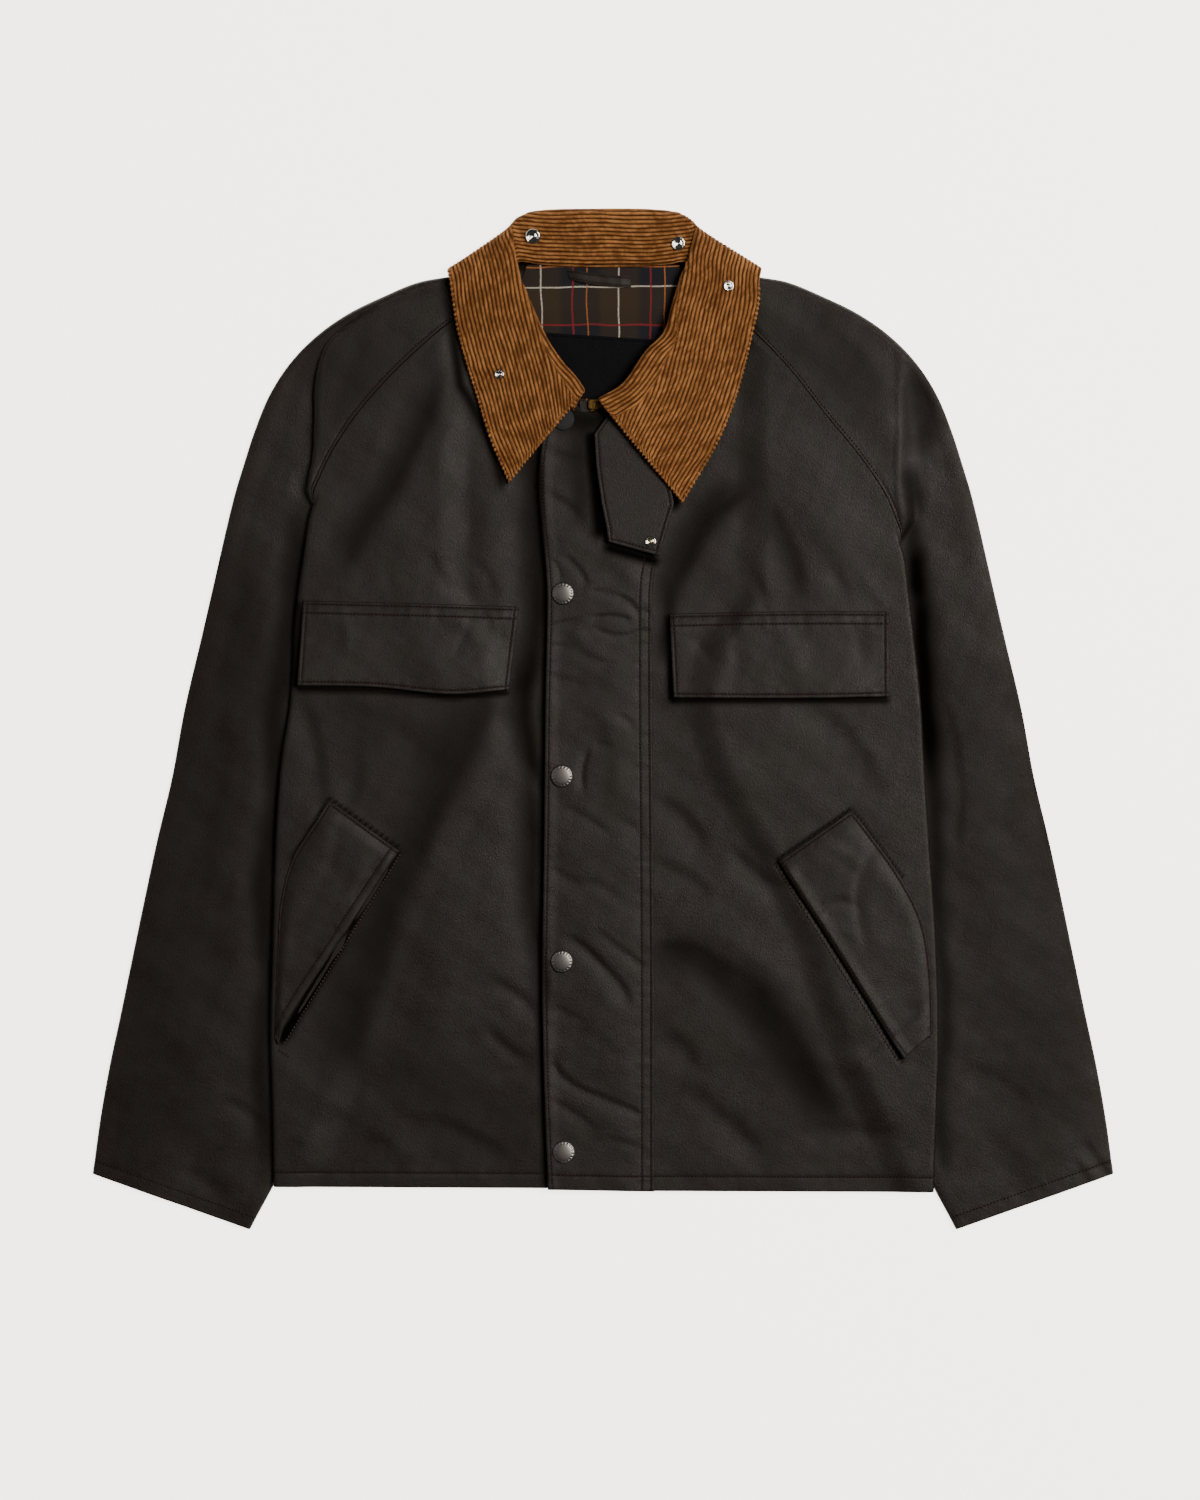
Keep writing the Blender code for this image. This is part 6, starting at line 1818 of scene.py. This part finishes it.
class JACKET_OT_collar(JacketOperator, bpy.types.Operator):
    """Dress the corduroy collar and its ring studs"""

    bl_idname = "jacket.collar"
    bl_label = "Collar"

    def execute(self, context):
        sizes, colours = self.settings(context)
        panel = collar_panel(sizes)
        finish = corduroy(colours, sizes.wale_pitch)
        piece = panel.build(finish, "collar", "corduroy")
        leaf = int(len(panel.middle) * ROPE_LEAF)
        for side, turned, leaf in (("right", 1, leaf), ("left", -1, leaf - 1)):
            # Along the front edge to the point, and from there along the outer edge.
            rim, normal = panel.middle[::turned], panel.normal[::turned]
            begin = rim.shape[1] - ROPE_COLUMNS
            rope_edge(
                f"collar_edge_{side}",
                np.concatenate([rim[0, begin:], rim[1:leaf, -1]]),
                np.concatenate([rim[7, begin:] - rim[0, begin:],
                                rim[1:leaf, -9] - rim[1:leaf, -1]]),
                np.concatenate([normal[3, begin:], normal[1:leaf, -7]]), sizes, finish)
        for stud in COLLAR_STUDS:
            ring_stud(panel, stud, STUD_SUNK, colours)
        return {"FINISHED"}


class JACKET_OT_neck(JacketOperator, bpy.types.Operator):
    """Dress the lining, the bare label and the hanging loop inside the neck"""

    bl_idname = "jacket.neck"
    bl_label = "Neck"

    def execute(self, context):
        sizes, colours = self.settings(context)
        level = (CLOTH + LINING) / 2 + SEAM
        lining = patch_panel("neck_lining_cloth", NECK_LINING, (80, 70), (125.0, 120.0), level,
                             back_z, LINING)
        lining.chart = (lining.middle[..., 0] + CHECK_SHIFT, lining.middle[..., 1])
        piece = lining.build(check_lining(colours), "neck_lining", "lining")
        level += (LINING + LABEL) / 2 + SEAM
        label = patch_panel("neck_label_satin", NECK_LABEL, (40, 60), (50.0, 82.0),
                            level + LABEL_LIFT, back_z, LABEL)
        label.hem(LABEL_ROWS)
        piece = label.build(satin(colours), "neck_label", "label")
        rows = sew("neck_label_sewing", label.runs(LABEL_ROWS), sizes,
                   thread(colours, "label_thread", colours.label_light))
        loop = patch_panel("hang_loop_cloth", HANG_LOOP, (50, 14), (48.0, 8.5),
                           level + LOOP_LIFT, back_z, LABEL)
        loop.middle[..., 2] += (LOOP_RISE * smooth(loop.low / LOOP_RISE_RUN)
                                * smooth(loop.high / LOOP_RISE_RUN))
        loop.hem(LOOP_ROWS)
        loop.mark("wear", 0.45)
        piece = loop.build(waxed_cotton(colours), "hang_loop", "shell")
        return {"FINISHED"}


class JACKET_OT_tab(JacketOperator, bpy.types.Operator):
    """Dress the throat tab and its stud"""

    bl_idname = "jacket.tab"
    bl_label = "Throat tab"

    def execute(self, context):
        sizes, colours = self.settings(context)
        panel = patch_panel(
            "throat_tab_cloth", THROAT_TAB, (74, 44), (112.0, 50.0), TAB_LEVEL,
            lambda x, y: TAB_RISE * smooth((TAB_RISE_Y - y) / TAB_RISE_RUN),
            reading=straight, sewing=TAB_ROWS)
        across = panel.left / np.maximum(panel.left[:, -1:], 1e-6)
        panel.middle[..., 2] -= TAB_DROOP * across
        panel.hem(TAB_ROWS)
        piece, rows = make_up(panel, "throat_tab", panel.runs(TAB_ROWS), sizes, colours)
        place, facing = ring_stud(panel, TAB_STUD, TAB_STUD_SUNK, colours)
        brass = metal("brass", colours.brass, toned(colours.brass, 0.6), 0.3)
        turned_cap("tab_stud_post", place, cap_profile(TAB_STUD.radius * 0.34, 1.3), facing,
                   None, brass, None, 24)
        return {"FINISHED"}


class JACKET_OT_snaps(JacketOperator, bpy.types.Operator):
    """Dress the snap caps of the storm fly"""

    bl_idname = "jacket.snaps"
    bl_label = "Snaps"

    def execute(self, context):
        sizes, colours = self.settings(context)
        panel = placket_panel(sizes.crease_depth)
        grey = colours.gunmetal
        plate = metal("gunmetal", grey, toned(grey, 0.7), 0.50, scratch=0.2, plated=0.3)
        # A shaded copy of the gunmetal: painted shadow for the snap half under the collar's leaf.
        shaded_gunmetal = metal("gunmetal_dark", toned(grey, 0.05), toned(grey, 0.03), 0.6)
        number, share, size, deep = SNAP_DOTS
        for snap in PLACKET_SNAPS:
            place, facing = seat(panel, snap.x, snap.y)
            turned_cap(f"{snap.node}_cap", place,
                       cap_profile(snap.radius, snap.height, snap.dark), facing,
                       (number, snap.radius * share, size, deep),
                       shaded_gunmetal if snap.dark else plate, snap.node, 150)
        return {"FINISHED"}


class JACKET_OT_zip(JacketOperator, bpy.types.Operator):
    """Dress the zip's tape, teeth and slider"""

    bl_idname = "jacket.zip"
    bl_label = "Zip"

    def execute(self, context):
        _, colours = self.settings(context)
        tape = patch_panel("zip_tape_cloth", ZIP_TAPE, (60, 12), (588.0, 22.0),
                           -(CLOTH + TAPE) / 2 - SEAM, thickness=TAPE)
        piece = tape.build(waxed_cotton(colours), "zip_tape", "tape")
        # A shaded copy of the brass: painted shade, as the zip lies in the dark throat under the
        # fly.
        brass = metal("zip_brass", toned(colours.brass, 0.55), toned(colours.brass, 0.3), 0.35)
        y = np.arange(HEM_Y + TEETH_LOW, ZIP_TOP_Y - TEETH_HIGH, TOOTH_PITCH)
        for row, side in enumerate((-1, 1)):
            x = np.full(len(y), ZIP_X + side * TOOTH_OUT)
            z = body_top(x, y, 0.0) - TOOTH_DOWN
            teeth = np.stack([x, y + row * TOOTH_PITCH / 2, z], -1)
            pillows(f"zip_teeth_{row}", teeth, np.full((len(y), 3), TOOTH_HALF), 4, 8, 4.0,
                    brass, None)
        slider = np.array(SLIDER_BLOCKS) + (ZIP_X, ZIP_TOP_Y - SLIDER_DOWN, 0.0, 0.0, 0.0, 0.0)
        pillows("zip_slider_body", slider[:, :3], slider[:, 3:], 24, 40, 5.0, brass,
                "zip_slider")
        return {"FINISHED"}


class JACKET_OT_stage(JacketOperator, bpy.types.Operator):
    """Lay the floor, and set the lights and the camera"""

    bl_idname = "jacket.stage"
    bl_label = "Studio"

    def execute(self, context):
        studio = context.scene.jacket_studio
        collection = context.scene.collection
        mesh = bpy.data.meshes.new("floor")
        mesh.from_pydata(
            [(x * FLOOR_REACH, y * FLOOR_REACH, FLOOR_Z)
             for x, y in ((-1, -1), (1, -1), (1, 1), (-1, 1))], [], [(0, 1, 2, 3)])
        mesh.materials.append(Finish("pale_floor").surface(
            Base_Color=studio.floor, Roughness=0.9, Specular_IOR_Level=0.1,
            Emission_Color=studio.floor, Emission_Strength=studio.floor_glow))
        floor = bpy.data.objects.new("floor", mesh)
        collection.objects.link(floor)
        for name, size, place in LAMPS:
            lamp = bpy.data.lights.new(name, "AREA")
            lamp.energy = getattr(studio, name)
            lamp.color = studio.warmth
            lamp.shape = "DISK"
            lamp.size = size
            item = bpy.data.objects.new(name, lamp)
            item.location = place
            item.rotation_euler = Vector(place).to_track_quat("Z", "Y").to_euler()
            collection.objects.link(item)
        world = bpy.data.worlds.new("soft_room")
        world.use_nodes = True
        background = world.node_tree.nodes["Background"]
        background.inputs["Color"].default_value = (1.0, 0.995, 0.98, 1.0)
        background.inputs["Strength"].default_value = studio.fill
        context.scene.world = world
        camera = bpy.data.cameras.new("camera")
        camera.lens = studio.lens
        camera.sensor_width = SENSOR
        view = bpy.data.objects.new("camera", camera)
        distance = studio.frame_height * studio.lens / camera.sensor_width
        view.location = (*FRAME_MIDDLE, distance)
        collection.objects.link(view)
        context.scene.camera = view
        return {"FINISHED"}


class JACKET_PT_panel(bpy.types.Panel):
    """The jacket's pieces and what may be changed on them"""

    bl_label = "Waxed cotton jacket"
    bl_idname = "JACKET_PT_panel"
    bl_space_type = "VIEW_3D"
    bl_region_type = "UI"
    bl_category = "Jacket"

    def draw(self, context):
        layout = self.layout
        for group in (context.scene.jacket_sizes, context.scene.jacket_colours,
                      context.scene.jacket_studio):
            box = layout.box()
            for name in group.__annotations__:
                box.prop(group, name)
        for step in STEPS:
            layout.operator(step.bl_idname, text=step.bl_label)


STEPS = (
    JACKET_OT_back, JACKET_OT_sleeves, JACKET_OT_fronts, JACKET_OT_placket, JACKET_OT_flaps,
    JACKET_OT_pockets, JACKET_OT_neck, JACKET_OT_zip, JACKET_OT_tab, JACKET_OT_collar,
    JACKET_OT_snaps, JACKET_OT_stage)
GROUPS = (
    ("jacket_sizes", JacketSizes), ("jacket_colours", JacketColours),
    ("jacket_studio", JacketStudio))


def register():
    """Register the classes, and hang the groups on the scene."""
    for _, group in GROUPS:
        bpy.utils.register_class(group)
    for item in (*STEPS, JACKET_PT_panel):
        bpy.utils.register_class(item)
    for name, group in GROUPS:
        setattr(bpy.types.Scene, name, bpy.props.PointerProperty(type=group))


def unregister():
    """Take them away again."""
    for name, _ in GROUPS:
        delattr(bpy.types.Scene, name)
    for item in (JACKET_PT_panel, *reversed(STEPS)):
        bpy.utils.unregister_class(item)
    for _, group in reversed(GROUPS):
        bpy.utils.unregister_class(group)


def main():
    """Register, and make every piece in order."""
    register()
    for step in STEPS:
        call = getattr(bpy.ops.jacket, step.bl_idname.split(".")[1])
        if call() != {"FINISHED"}:
            raise RuntimeError(f"{step.bl_label} wasn't made")


if __name__ == "__main__":
    main()
